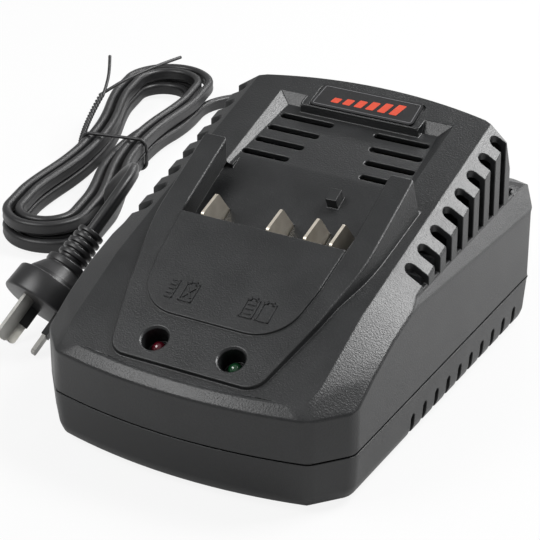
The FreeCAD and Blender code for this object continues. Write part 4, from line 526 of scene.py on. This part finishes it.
section = flat_profile()
hank_line = [from_hank(p) for p in hank_points()]
mains_cord = curve_piece("mains_cord", TO_HANK + hank_line + TO_PLUG, profile=section, steps=8)
mounted(mains_cord, "cord_pvc", "cord", "cord_hank", "cord_tail", material=cord_pvc)


# Floor, background and light. The camera sees floor and world nearly white, and reflections a part of that.
FLOOR_WHITE, FLOOR_IN_GLOSS = 0.88, 0.3
WORLD_LIGHT, WORLD_IN_GLOSS = 0.17, 0.28
WHITE = (1, 1, 1, 1)
CHARGER_MIDDLE = (-0.05, 0.06, 0.04)


def pale_floor():
    """Matt pale floor that still takes the charger's shadow."""
    bpy.ops.mesh.primitive_plane_add(size=8.0, location=(0, 0, 0))
    floor = bpy.context.object
    floor.name = "floor"
    material, tree, shader = finish_of("pale_paper_floor", Roughness=0.9)
    shader.inputs["Base Color"].default_value = linear("#d2d2d2")
    shader.inputs["Specular IOR Level"].default_value = 0.1
    path = add(tree, "ShaderNodeLightPath").outputs
    shiny = add(tree, "ShaderNodeMath", {0: path["Is Glossy Ray"], 1: FLOOR_IN_GLOSS}, operation="MULTIPLY")
    seen = add(tree, "ShaderNodeMath", {0: path["Is Camera Ray"], 1: shiny.outputs[0]}, operation="MAXIMUM")
    share = add(tree, "ShaderNodeMath", {0: seen.outputs[0], 1: FLOOR_WHITE}, operation="MULTIPLY")
    glow = add(tree, "ShaderNodeEmission", {"Color": WHITE, "Strength": 1.0})
    mixed = add(tree, "ShaderNodeMixShader", {0: share.outputs[0], 1: shader.outputs[0], 2: glow.outputs[0]})
    tree.links.new(mixed.outputs[0], tree.nodes["Material Output"].inputs["Surface"])
    dress(floor, material)


def studio_world():
    """World that lights softly, and is white where the camera sees it."""
    world = bpy.data.worlds.new("studio")
    bpy.context.scene.world = world
    world.use_nodes = True
    sky = world.node_tree
    path = add(sky, "ShaderNodeLightPath").outputs
    clear = add(sky, "ShaderNodeMath", {0: path["Is Camera Ray"], 1: path["Is Transmission Ray"]},
                operation="MAXIMUM")
    shiny = add(sky, "ShaderNodeMath", {0: path["Is Glossy Ray"], 1: WORLD_IN_GLOSS}, operation="MULTIPLY")
    seen = add(sky, "ShaderNodeMath", {0: clear.outputs[0], 1: shiny.outputs[0]}, operation="MAXIMUM")
    soft = sky.nodes["Background"]
    soft.inputs["Color"].default_value = WHITE
    soft.inputs["Strength"].default_value = WORLD_LIGHT
    white = add(sky, "ShaderNodeBackground", {"Color": WHITE, "Strength": 1.0})
    mixed = add(sky, "ShaderNodeMixShader", {0: seen.outputs[0], 1: soft.outputs[0], 2: white.outputs[0]})
    sky.links.new(mixed.outputs[0], sky.nodes["World Output"].inputs["Surface"])


def softbox(name, place, size, power):
    """Rectangular light, its place and size in metres and its power in watts, turned to the charger."""
    data = bpy.data.lights.new(name, "AREA")
    data.shape = "RECTANGLE"
    data.size, data.size_y = size
    data.energy = power
    lamp = bpy.data.objects.new(name, data)
    lamp.location = place
    lamp.rotation_mode = "QUATERNION"
    lamp.rotation_quaternion = (Vector(CHARGER_MIDDLE) - Vector(place)).to_track_quat("-Z", "Y")
    bpy.context.scene.collection.objects.link(lamp)


pale_floor()
studio_world()
softbox("key_right", (0.47, 0.50, 0.95), (0.40, 0.50), 14.0)
softbox("grazing_right", (0.75, 1.00, 0.24), (0.6, 0.3), 3.0)
softbox("rim_behind", (-0.10, 1.15, 0.75), (0.9, 0.2), 5.0)
softbox("fill_front", (-0.40, -0.40, 0.70), (0.5, 0.35), 4.2)
bpy.context.scene.view_settings.view_transform = "Standard"


# Plate and slopes of the top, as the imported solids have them: the front edge is at minus half the length.
FRONT, PLATE_LEVEL, PLATE_SLOPE = -100.0, 40.0, math.radians(25.6)
TOP_SLOPE = math.radians(16.4)


# Case: both halves keep their solids' form, with the moulding's radii on its edges. Places are distances from
# the middle plane (X), the front (ALONG) and the table (Z) in millimetres, and turns are in degrees.
CLEAR_TURN, SQUARE_TURN = 24.0, 60.0
# An edge goes one way nearly or quite when that part of its direction is over the share.
NEARLY, QUITE = 0.85, 0.9
# Where the edges lie: the plan's upright corners, the arms' tips, the arms' long edges, the sides' long
# edges, the deck's slots and the front ridge.
CORNER_X, CORNER_FRONT, CORNER_BACK, CORNER_TOP = 49.5, 25.0, 175.0, 56.0
TIP_X, TIP_ALONG, TIP_Z = (34.0, 47.5), (104.0, 107.0), 81.0
ARM_X, ARM_ALONG, ARM_Z = (34.0, 46.5), 106.0, 60.0
SIDE_X = 62.0
DECK_X, DECK_ALONG, DECK_Z = 38.0, (115.0, 148.0), 77.0
RIDGE_Z, RIDGE_ALONG = (38.0, 43.5), 7.5
# The radii of these, and the fine one of every other edge; the upright corners take the widest.
TIP_UPRIGHT_R, TIP_R, LONG_R, SLOT_R, RIDGE_R, FINE_R = 2.4, 1.6, 1.0, 0.6, 0.9, 0.35
# The tray's lower edges, with their radius and that of its other edges.
TRAY_FOOT_Z, TRAY_FOOT_TURN, TRAY_FOOT_WAY, TRAY_FOOT_R, TRAY_R = 7.0, 15.0, 0.6, 1.2, 0.3
# The seam: the upper half's outer walls stop short of the tray. The inner edges of its foot stay sharp,
# because a radius there left a false face across the whole case.
INNER_FOOT = 21.2
SEAM_GAP = (21.05, 28.0, 0.55)


def between(value, ends):
    """Whether a value lies inside a span."""
    return ends[0] < value < ends[1]


def outer_corner(middle, way):
    """Whether an edge is one of the plan's eight upright corners."""
    along = middle.y - FRONT
    return abs(way.z) > NEARLY and abs(middle.x) > CORNER_X and not CORNER_FRONT < along < CORNER_BACK


def upper_radius(middle, way, turn, convex):
    """Radius of an edge of the upper half, from its middle, its way, how far it turns and to which side."""
    if turn < CLEAR_TURN or middle.z < INNER_FOOT:
        return 0.0
    if not convex:
        return FINE_R
    x, along, z = abs(middle.x), middle.y - FRONT, middle.z
    if outer_corner(middle, way) and z < CORNER_TOP:
        return WIDEST
    if between(x, TIP_X) and between(along, TIP_ALONG) and z > TIP_Z:
        return TIP_UPRIGHT_R if abs(way.z) > QUITE else TIP_R
    arm = between(x, ARM_X) and along < ARM_ALONG and z > ARM_Z and turn > SQUARE_TURN
    if abs(way.y) > NEARLY and (x > SIDE_X or arm):
        return LONG_R
    if turn > SQUARE_TURN and x < DECK_X and between(along, DECK_ALONG) and z > DECK_Z:
        return SLOT_R
    if between(z, RIDGE_Z) and (along < RIDGE_ALONG or x > CORNER_X and along < CORNER_FRONT):
        return RIDGE_R
    return FINE_R


def lower_radius(middle, way, turn, convex):
    """Radius of an edge of the tray, from the same facts."""
    if convex and outer_corner(middle, way) and turn > CLEAR_TURN:
        return WIDEST
    if convex and middle.z < TRAY_FOOT_Z and turn > TRAY_FOOT_TURN and abs(way.z) < TRAY_FOOT_WAY:
        return TRAY_FOOT_R
    return TRAY_R if turn > CLEAR_TURN else 0.0


upper_case = edge_rounded("upper_case", "upper_housing", upper_radius, gap=SEAM_GAP)
mounted(upper_case, "case_abs", "upper_housing", material=spark_abs)
lower_case = edge_rounded("lower_case", "lower_housing", lower_radius)
mounted(lower_case, "tray_abs", "lower_housing", material=satin_abs)


def on_plate(x, y, level):
    """Placement on the plate plane at x and a distance y from the front, lifted square to it by the level."""
    up = Vector((0.0, math.cos(PLATE_SLOPE), math.sin(PLATE_SLOPE)))
    out = Vector((0.0, -math.sin(PLATE_SLOPE), math.cos(PLATE_SLOPE)))
    place = Vector((x, FRONT + y, PLATE_LEVEL + y * math.tan(PLATE_SLOPE))) + out * level
    return frame_of(place, (1, 0, 0), up)


# Lamps: flanged epoxy lenses with round domes, deep in their wells.
LAMP_R, LAMP_FLANGE_R, LAMP_FOOT, LAMP_TALL, LAMP_SEAT = 2.8, 3.4, 1.0, 9.4, 13.4
WELL_X, WELL_Y = 16.1, 17.9
DOME_ANGLES = [math.radians(a) for a in range(0, 91, 10)]
lamp_dome = [(LAMP_R * math.cos(a), LAMP_TALL - LAMP_R + LAMP_R * math.sin(a)) for a in DOME_ANGLES]
lamp_profile = [(0, 0), (LAMP_FLANGE_R, 0), (LAMP_FLANGE_R, LAMP_FOOT), (LAMP_R, LAMP_FOOT)] + lamp_dome
lamp_profile[-1] = (0, LAMP_TALL)
for side, colour, glass in ((-1, "red", red_lens), (1, "green", green_lens)):
    place = on_plate(side * WELL_X, WELL_Y, -LAMP_SEAT)
    lamp = turned_piece(colour + "_lamp", lamp_profile, place, 40)
    mounted(lamp, colour + "_lens", colour + "_led", material=glass)

# Contact blades: stamped strip, its upper corners rounded and its edges rolled.
BLADES = {"left": -27.0, "middle": 1.2, "inner_right": 17.0, "right": 27.8}
BLADE_FRONT, BLADE_BACK, BLADE_THICK, BLADE_TAIL = 71.0, 91.0, 1.2, 15.0
BLADE_APEX_Y, BLADE_APEX_Z, BLADE_FALL = 82.0, 77.2, 3.4
CREASE_Y, CREASE_Z = 114.8, 78.4


def bay_floor(y):
    """Height of the bay's floor at a distance y from the front."""
    return CREASE_Z - (CREASE_Y - y) * math.tan(PLATE_SLOPE)


blade_foot = bay_floor(BLADE_FRONT) - BLADE_TAIL / math.cos(PLATE_SLOPE)
blade_corners = [
    (BLADE_FRONT, blade_foot, 0.0), (BLADE_FRONT + 7.0, blade_foot, 0.0),
    (BLADE_BACK - 8.0, blade_foot + 4.0, 0.0), (BLADE_BACK, bay_floor(BLADE_BACK) - 4.0, 0.0),
    (BLADE_BACK, bay_floor(BLADE_BACK), 0.8),
    (BLADE_APEX_Y + 0.6, BLADE_APEX_Z, 1.5), (BLADE_FRONT, BLADE_APEX_Z - BLADE_FALL, 1.6),
]
blade_line = softened([(y + FRONT, z, r) for y, z, r in blade_corners])
for name, x in BLADES.items():
    place = frame_of((x, 0, 0), (0, 1, 0), (0, 0, 1))
    blade = slab("blade_" + name, blade_line, BLADE_THICK, place, edge=0.18)
    mounted(blade, "contact_metal", "contact_blade_" + name, material=blade_nickel)

# Name plate, with a plain printed border and a row of level bars instead of words.
BADGE_Y, BADGE_Z, BADGE_SUNK, BADGE_THICK = 49.6, 90.04, 0.8, 1.3
BADGE_HALF, BADGE_DEEP, BADGE_CORNER, BADGE_TAPER = 23.0, 13.8, 2.0, 0.7
BADGE_LEAST_CORNER, BORDER_FROM, BORDER_TO = 0.6, 0.95, 1.3
PRINT_THICK, PRINT_LEVEL = 0.1, BADGE_THICK + 0.02
badge_up = Vector((0.0, math.cos(TOP_SLOPE), math.sin(TOP_SLOPE)))
badge_out = Vector((0.0, -math.sin(TOP_SLOPE), math.cos(TOP_SLOPE)))


def on_badge(level, y=0.0):
    """Placement over the bottom of the name plate's seat, a distance y up it."""
    place = Vector((0.0, BADGE_Y, BADGE_Z)) + badge_up * y + badge_out * (level - BADGE_SUNK)
    return frame_of(place, (1, 0, 0), badge_up)


def badge_line(inset):
    """Outline of the name plate, drawn in by the inset."""
    low, high, top = BADGE_HALF - inset, BADGE_HALF - inset - BADGE_TAPER, BADGE_DEEP - inset
    r = max(BADGE_CORNER - inset, BADGE_LEAST_CORNER)
    return softened([(-low, inset, r), (low, inset, r), (high, top, r), (-high, top, r)])


def band(name, outer, inner, thick, place):
    """Flat ring between two outlines with the same number of points."""
    mesh = bmesh.new()
    loops = []
    for line, level in ((outer, -thick / 2), (outer, thick / 2), (inner, thick / 2), (inner, -thick / 2)):
        loops.append([mesh.verts.new((x * MM, y * MM, level * MM)) for x, y in line])
    count = len(outer)
    for low, high in zip(loops, loops[1:] + loops[:1]):
        for i in range(count):
            k = (i + 1) % count
            mesh.faces.new((low[i], low[k], high[k], high[i]))
    return placed_mesh(name, mesh, place, angle=40.0)


badge = slab("badge_plate", badge_line(0.0), BADGE_THICK, on_badge(BADGE_THICK / 2), edge=0.22)
mounted(badge, "badge", "name_plate", material=badge_gloss)
border_lines = badge_line(BORDER_FROM), badge_line(BORDER_TO)
border = band("badge_border", *border_lines, PRINT_THICK, on_badge(PRINT_LEVEL))
mounted(border, "badge", material=grey_print)
BAR_COUNT, BAR_WIDE, BAR_PITCH, BAR_FIRST, BAR_STEP = 6, 3.4, 5.2, 3.0, 0.75
BAR_SHIFT, BAR_FOOT, BAR_CORNER = 0.5, 3.6, 0.35
# Sideways lean of the bars: so much over such a height.
BAR_LEAN, BAR_LEAN_TALL = 1.6, 6
bars = []
for i in range(BAR_COUNT):
    x0 = (i - BAR_COUNT / 2) * BAR_PITCH + BAR_SHIFT
    tall = BAR_FIRST + i * BAR_STEP
    lean = BAR_LEAN * tall / BAR_LEAN_TALL
    corners = [(x0, 0), (x0 + BAR_WIDE, 0), (x0 + BAR_WIDE + lean, tall), (x0 + lean, tall)]
    line = softened([(x, y, BAR_CORNER) for x, y in corners], steps=3)
    bars.append(slab("bar", line, PRINT_THICK, on_badge(PRINT_LEVEL, y=BAR_FOOT)))
mounted(joined("badge_bars", bars), "badge", material=orange_print)

# Bead along the front of the plate's pad, turned up at both ends.
PAD_HALF, PAD_FRONT, PAD_BEAD = 26.4, 148.4, 0.45


def top_point(x, y):
    """Point on the top's back slope, at a distance y from the front."""
    return (x, FRONT + y, BADGE_Z + (FRONT + y - BADGE_Y) * math.tan(TOP_SLOPE))


# Right half of the bead from its middle: how far in from the pad's side, and how far back from its front.
BEAD_TURN = [(1.8, 0.3), (0.5, 0.5), (0.2, 1.4), (0.2, 5.6)]
bead_right = [top_point(PAD_HALF - inward, PAD_FRONT + back) for inward, back in BEAD_TURN]
bead_left = [(-x, y, z) for x, y, z in reversed(bead_right)]
bead_line = bead_left + [top_point(0.0, PAD_FRONT + BEAD_TURN[0][1])] + bead_right
pad_bead = curve_piece("pad_bead", bead_line, radius=PAD_BEAD, steps=6)
mounted(pad_bead, "case_abs", material=spark_abs)

# Plain battery symbols moulded on the tongue: a crossed cell beside a scale, and a full and an empty cell.
SIGN_X, SIGN_Y, SIGN_LEVEL, SIGN_LINE, SIGN_TALL = 16.05, 37.7, 1.0, 0.6, 0.7
CELL_WIDE, CELL_TALL, CELL_CAP, CELL_CAP_WIDE = 5.0, 7.8, 1.0, 2.4
CROSSED_X, CROSS_LEFT, CROSS_RIGHT, CROSS_TOP = 3.2, 1.7, 4.7, 2.2
SCALE_LEFT, SCALE_RIGHT, SCALE_TOP, SCALE_STEP, SCALE_MARKS = -5.2, -2.6, 3.9, 1.95, 5
CHARGED_X, LEVEL_LEFT, LEVEL_RIGHT, LEVEL_LOW, LEVEL_STEP, LEVELS = 3.4, -4.7, -2.1, -2.2, 2.1, 3


def stroke(place, a, b):
    """Raised line between two points of a symbol."""
    a, b = Vector(a), Vector(b)
    along = (b - a).normalized()
    side = Vector((-along.y, along.x)) * (SIGN_LINE / 2)
    a, b = a - along * SIGN_LINE / 2, b + along * SIGN_LINE / 2
    return slab("stroke", [a - side, b - side, b + side, a + side], SIGN_TALL, place)


def cell(place, x, y):
    """Outline of an upright battery with its cap."""
    half, cap = CELL_WIDE / 2, CELL_CAP_WIDE / 2
    shoulder, top = y + CELL_TALL, y + CELL_TALL + CELL_CAP
    corners = [(x - half, y), (x + half, y), (x + half, shoulder), (x + cap, shoulder),
               (x + cap, top), (x - cap, top), (x - cap, shoulder), (x - half, shoulder)]
    return [stroke(place, a, b) for a, b in zip(corners, corners[1:] + corners[:1])]


def sign(name, x, strokes_of):
    """One symbol, joined from its strokes."""
    place = on_plate(x, SIGN_Y, SIGN_LEVEL)
    mounted(joined(name, strokes_of(place)), "case_abs", material=spark_abs)


def crossed_cell(place):
    """A crossed-out cell on the right and a scale on the left."""
    lines = cell(place, CROSSED_X, -CELL_TALL / 2)
    lines.append(stroke(place, (CROSS_LEFT, -CROSS_TOP), (CROSS_RIGHT, CROSS_TOP)))
    lines.append(stroke(place, (CROSS_LEFT, CROSS_TOP), (CROSS_RIGHT, -CROSS_TOP)))
    for i in range(SCALE_MARKS):
        y = -SCALE_TOP + SCALE_STEP * i
        lines.append(stroke(place, (SCALE_LEFT, y), (SCALE_RIGHT, y)))
    return lines + [stroke(place, (SCALE_RIGHT, -SCALE_TOP), (SCALE_RIGHT, SCALE_TOP))]


def charged_cells(place):
    """A full cell on the left, with its levels, and an empty one on the right."""
    lines = cell(place, -CHARGED_X, -CELL_TALL / 2) + cell(place, CHARGED_X, -CELL_TALL / 2)
    for i in range(LEVELS):
        y = LEVEL_LOW + LEVEL_STEP * i
        lines.append(stroke(place, (LEVEL_LEFT, y), (LEVEL_RIGHT, y)))
    return lines


sign("sign_fault", -SIGN_X, crossed_cell)
sign("sign_charged", SIGN_X, charged_cells)

# Plug: moulded round body, neck collar and ribbed relief, standing on its two slanted pins.
PLUG_FACE, PLUG_TURN, PLUG_TILT = Vector((-101.9, -34.5, 16.1)), math.radians(-14.0), math.radians(36.0)
PLUG_R, PLUG_RIM, PLUG_SHOULDER, PLUG_NECK, PLUG_LENGTH = 16.5, 11.0, 12.8, 8.4, 38.0
RIBS, RIB_START, RIB_ROOT, RIB_TIP, RIB_GROOVE, RIB_SHARE = 5, 23.0, 7.0, 5.8, 1.3, 0.4
plug_way = Vector((math.sin(PLUG_TURN) * math.cos(PLUG_TILT), -math.cos(PLUG_TURN) * math.cos(PLUG_TILT),
                   -math.sin(PLUG_TILT)))
plug_side = Vector((0, 0, 1)).cross(plug_way).normalized()
plug_up = plug_way.cross(plug_side)
plug_place = frame_of(PLUG_FACE, plug_side, plug_up)

plug_corners = [
    (0.0, 0.0, 0), (PLUG_R, 0.0, 0.9), (PLUG_R - 0.7, PLUG_RIM, 0.8), (PLUG_SHOULDER + 0.2, PLUG_RIM, 0.3),
    (PLUG_SHOULDER - 0.4, PLUG_RIM + 1.9, 0.8), (PLUG_NECK + 1.3, 17.0, 3.0), (PLUG_NECK + 0.1, 18.6, 0.6),
    (PLUG_NECK + 0.8, 18.9, 0.25), (PLUG_NECK + 0.7, 21.6, 0.5), (PLUG_NECK - 0.6, 22.0, 0.3),
]
pitch = (PLUG_LENGTH - RIB_START) / RIBS
for i in range(RIBS):
    near = RIB_START + i * pitch
    r = RIB_ROOT + (RIB_TIP - RIB_ROOT) * i / (RIBS - 1)
    plug_corners += [(r - RIB_GROOVE, near, 0.2), (r - RIB_GROOVE, near + pitch * RIB_SHARE, 0.2),
                     (r, near + pitch * RIB_SHARE, 0.35), (r, near + pitch - 0.02, 0.35)]
plug_corners += [(0.0, PLUG_LENGTH, 0)]
plug_profile = [(p.x, -p.y) for p in softened(plug_corners, closed=False, steps=3)]
plug = turned_piece("plug", plug_profile, plug_place, 72)
mounted(plug, "plug_pvc", "plug_body", material=plug_pvc)

# Pins: the two slanted ones in half-length sleeves, the upright one bare.
PIN_WIDE, PIN_THICK, PIN_ROOT, PIN_LONG, EARTH_LONG = 6.3, 1.6, 6.0, 17.1, 20.0
PIN_X, PIN_DOWN, EARTH_UP, PIN_SPLAY = 7.9, 5.0, 7.6, math.radians(30.0)
PIN_CORNER, PIN_EDGE = 1.5, 0.3
SLEEVE_LONG, SLEEVE_ROOTED, SLEEVE_WALL, SLEEVE_CORNER, SLEEVE_EDGE = 8.6, 1.0, 0.5, 0.3, 0.35


def pin_place(x, y, turn):
    """Placement on the face, its X along the pin's width and its Y the way the pins point."""
    width = plug_side * math.cos(turn) + plug_up * math.sin(turn)
    return frame_of(PLUG_FACE + plug_side * x + plug_up * y, width, plug_way)


def pin_line(long):
    """Outline of a pin that stands out of the face by its length."""
    half, r = PIN_WIDE / 2, PIN_CORNER
    return softened([(-half, -PIN_ROOT, 0), (half, -PIN_ROOT, 0), (half, long, r), (-half, long, r)], steps=4)


sleeves = []
for name, side in (("active_pin", 1), ("neutral_pin", -1)):
    place = pin_place(side * PIN_X, -PIN_DOWN, math.pi / 2 - side * PIN_SPLAY)
    pin = slab(name + "_bright", pin_line(PIN_LONG), PIN_THICK, place, edge=PIN_EDGE)
    mounted(pin, "pin_metal", name, material=pin_nickel)
    half = PIN_WIDE / 2 + SLEEVE_WALL
    line = softened([(-half, -SLEEVE_ROOTED, 0), (half, -SLEEVE_ROOTED, 0),
                     (half, SLEEVE_LONG, SLEEVE_CORNER), (-half, SLEEVE_LONG, SLEEVE_CORNER)], steps=2)
    sleeves.append(slab("sleeve", line, PIN_THICK + 2 * SLEEVE_WALL, place, edge=SLEEVE_EDGE))
place = pin_place(0.0, EARTH_UP, math.pi / 2)
earth = slab("earth_pin_bright", pin_line(EARTH_LONG), PIN_THICK, place, edge=PIN_EDGE)
mounted(earth, "pin_metal", "earth_pin", material=pin_nickel)
pin_sleeves = joined("sleeves", sleeves)
mounted(pin_sleeves, "sleeve_plastic", "pin_sleeves", material=black_nylon)

# Gland: flanged grommet in the tray wall, with a tapered and grooved sleeve.
GLAND_X, GLAND_Z, GLAND_TOP, GLAND_IN, GLAND_OUT = -30.0, 13.0, 21.0, 90.8, 101.0
FLANGE_THICK, FLANGE_HALF, NECK_HALF, NECK_OVERLAP, SLEEVE_REACH = 2.0, 7.5, 4.5, 0.5, 29.0
GLAND_LOW_R, GLAND_TOP_R, GLAND_EDGE = 1.2, 0.3, 0.3
SLEEVE_ROOT, SLEEVE_TIP, SLEEVE_RINGS = 5.5, 4.0, 4
# The grooves of the sleeve start at this share of its reach and follow each other by the second share.
GROOVE_FIRST, GROOVE_STEP = 0.2, 0.19


def gland_block(half, y0, y1):
    """Square block of the grommet between two places along Y, rounded below and flush with the seam above."""
    top = GLAND_TOP - GLAND_Z
    line = softened([(-half, -half, GLAND_LOW_R), (half, -half, GLAND_LOW_R), (half, top, GLAND_TOP_R),
                     (-half, top, GLAND_TOP_R)], steps=3)
    place = frame_of((GLAND_X, (y0 + y1) / 2, GLAND_Z), (1, 0, 0), (0, 0, 1))
    return slab("block", line, y1 - y0, place, edge=GLAND_EDGE)


inner_face, outer_face = GLAND_IN + FLANGE_THICK, GLAND_OUT - FLANGE_THICK
gland_parts = [
    gland_block(FLANGE_HALF, outer_face, GLAND_OUT),
    gland_block(NECK_HALF, inner_face - NECK_OVERLAP, outer_face + NECK_OVERLAP),
    gland_block(FLANGE_HALF, GLAND_IN, inner_face),
]
sleeve_corners = [(0.0, 0.0, 0), (SLEEVE_ROOT + 0.6, 0.0, 0), (SLEEVE_ROOT + 0.1, 1.2, 0.5)]
for i in range(SLEEVE_RINGS):
    start = SLEEVE_REACH * (GROOVE_FIRST + GROOVE_STEP * i)
    r = SLEEVE_ROOT + (SLEEVE_TIP - SLEEVE_ROOT) * start / SLEEVE_REACH
    sleeve_corners += [(r, start, 0.3), (r - 0.9, start + 0.1, 0.2), (r - 1.0, start + 2.0, 0.2),
                       (r - 0.15, start + 2.1, 0.3)]
sleeve_corners += [(SLEEVE_TIP, SLEEVE_REACH, 0.5), (0.0, SLEEVE_REACH, 0)]
sleeve_profile = [(p.x, -p.y) for p in softened(sleeve_corners, closed=False, steps=2)]
sleeve_place = frame_of((GLAND_X, GLAND_OUT, GLAND_Z), (1, 0, 0), (0, 0, 1))
gland_parts.append(turned_piece("sleeve", sleeve_profile, sleeve_place, 48))
gland = joined("cord_grommet", gland_parts)
mounted(gland, "cord_pvc", "cord_gland", material=plug_pvc)

# Twist tie: a ring round the waist, a twisted pair and two free ends.
TIE_R, TIE_GAP, TIE_CORNER, KNOT_OUT, KNOT_UP = 0.8, 0.35, 4.0, 0.9, 2
tie_side = TIE_R + TIE_GAP
TIE_RIGHT = HANK_HALF - HANK_DRAW + CORD_NARROW / 2 + tie_side
TIE_LEFT = -(HANK_HALF - HANK_PITCH / 2 - HANK_DRAW + CORD_NARROW / 2 + tie_side)
TIE_LOW = HANK_LOW - CORD_WIDE / 2 - tie_side
TIE_HIGH = HANK_LOW + HANK_LAYER + CORD_WIDE / 2 + tie_side
tie_corners = [(TIE_LEFT, TIE_LOW), (TIE_RIGHT, TIE_LOW), (TIE_RIGHT, TIE_HIGH), (TIE_LEFT, TIE_HIGH)]
tie_ring = softened([(x, z, TIE_CORNER) for x, z in tie_corners], steps=6)
ring_points = [from_hank((p.x, 0.0, p.y)) for p in tie_ring]
knot = Vector((TIE_LEFT - KNOT_OUT, 0.0, (TIE_LOW + TIE_HIGH) / 2 + KNOT_UP))
twist_middle, twist_end = knot + Vector((-2, 10, 5)), knot + Vector((-2, 34, 11))
TWIST_TURNS, TWIST_STEPS, TWIST_R = 9, 8, 0.75


def twisted(phase):
    """One wire of the twisted pair, as a coil round the bent line from the knot to the twist's end."""
    points = []
    for k in range(TWIST_TURNS * TWIST_STEPS + 1):
        share = k / (TWIST_TURNS * TWIST_STEPS)
        a, b, c = (1 - share) ** 2, 2 * share * (1 - share), share ** 2
        middle = knot * a + twist_middle * b + twist_end * c
        way = ((twist_middle - knot) * (1 - share) + (twist_end - twist_middle) * share).normalized()
        side = way.cross(Vector((0, 0, 1))).normalized()
        up = side.cross(way)
        angle = 2 * math.pi * TWIST_TURNS * share + phase
        points.append(middle + (side * math.cos(angle) + up * math.sin(angle)) * TWIST_R)
    return points


end_one = [twist_end + Vector(p) for p in ((0.5, 5, 2.5), (-0.5, 13, 7.0), (-3.6, 22, 11.6))]
end_two = [twist_end + Vector(p) for p in ((2.5, 4, 1.6), (8, 12, 4.4), (19, 30, 6.4), (26, 44, 6.0))]
tie_lines = [twisted(0.0) + end_one, twisted(math.pi) + end_two]
tie_wires = [curve_piece("tie_ring", ring_points, radius=TIE_R, cyclic=True, steps=3)]
for line in tie_lines:
    tie_wires.append(curve_piece("tie_wire", [from_hank(p) for p in line], radius=TIE_R, steps=3))
mounted(tie_wires[0], "tie_pvc", "twist_tie", material=tie_pvc)
for wire in tie_wires[1:]:
    mounted(wire, "tie_pvc", material=tie_pvc)
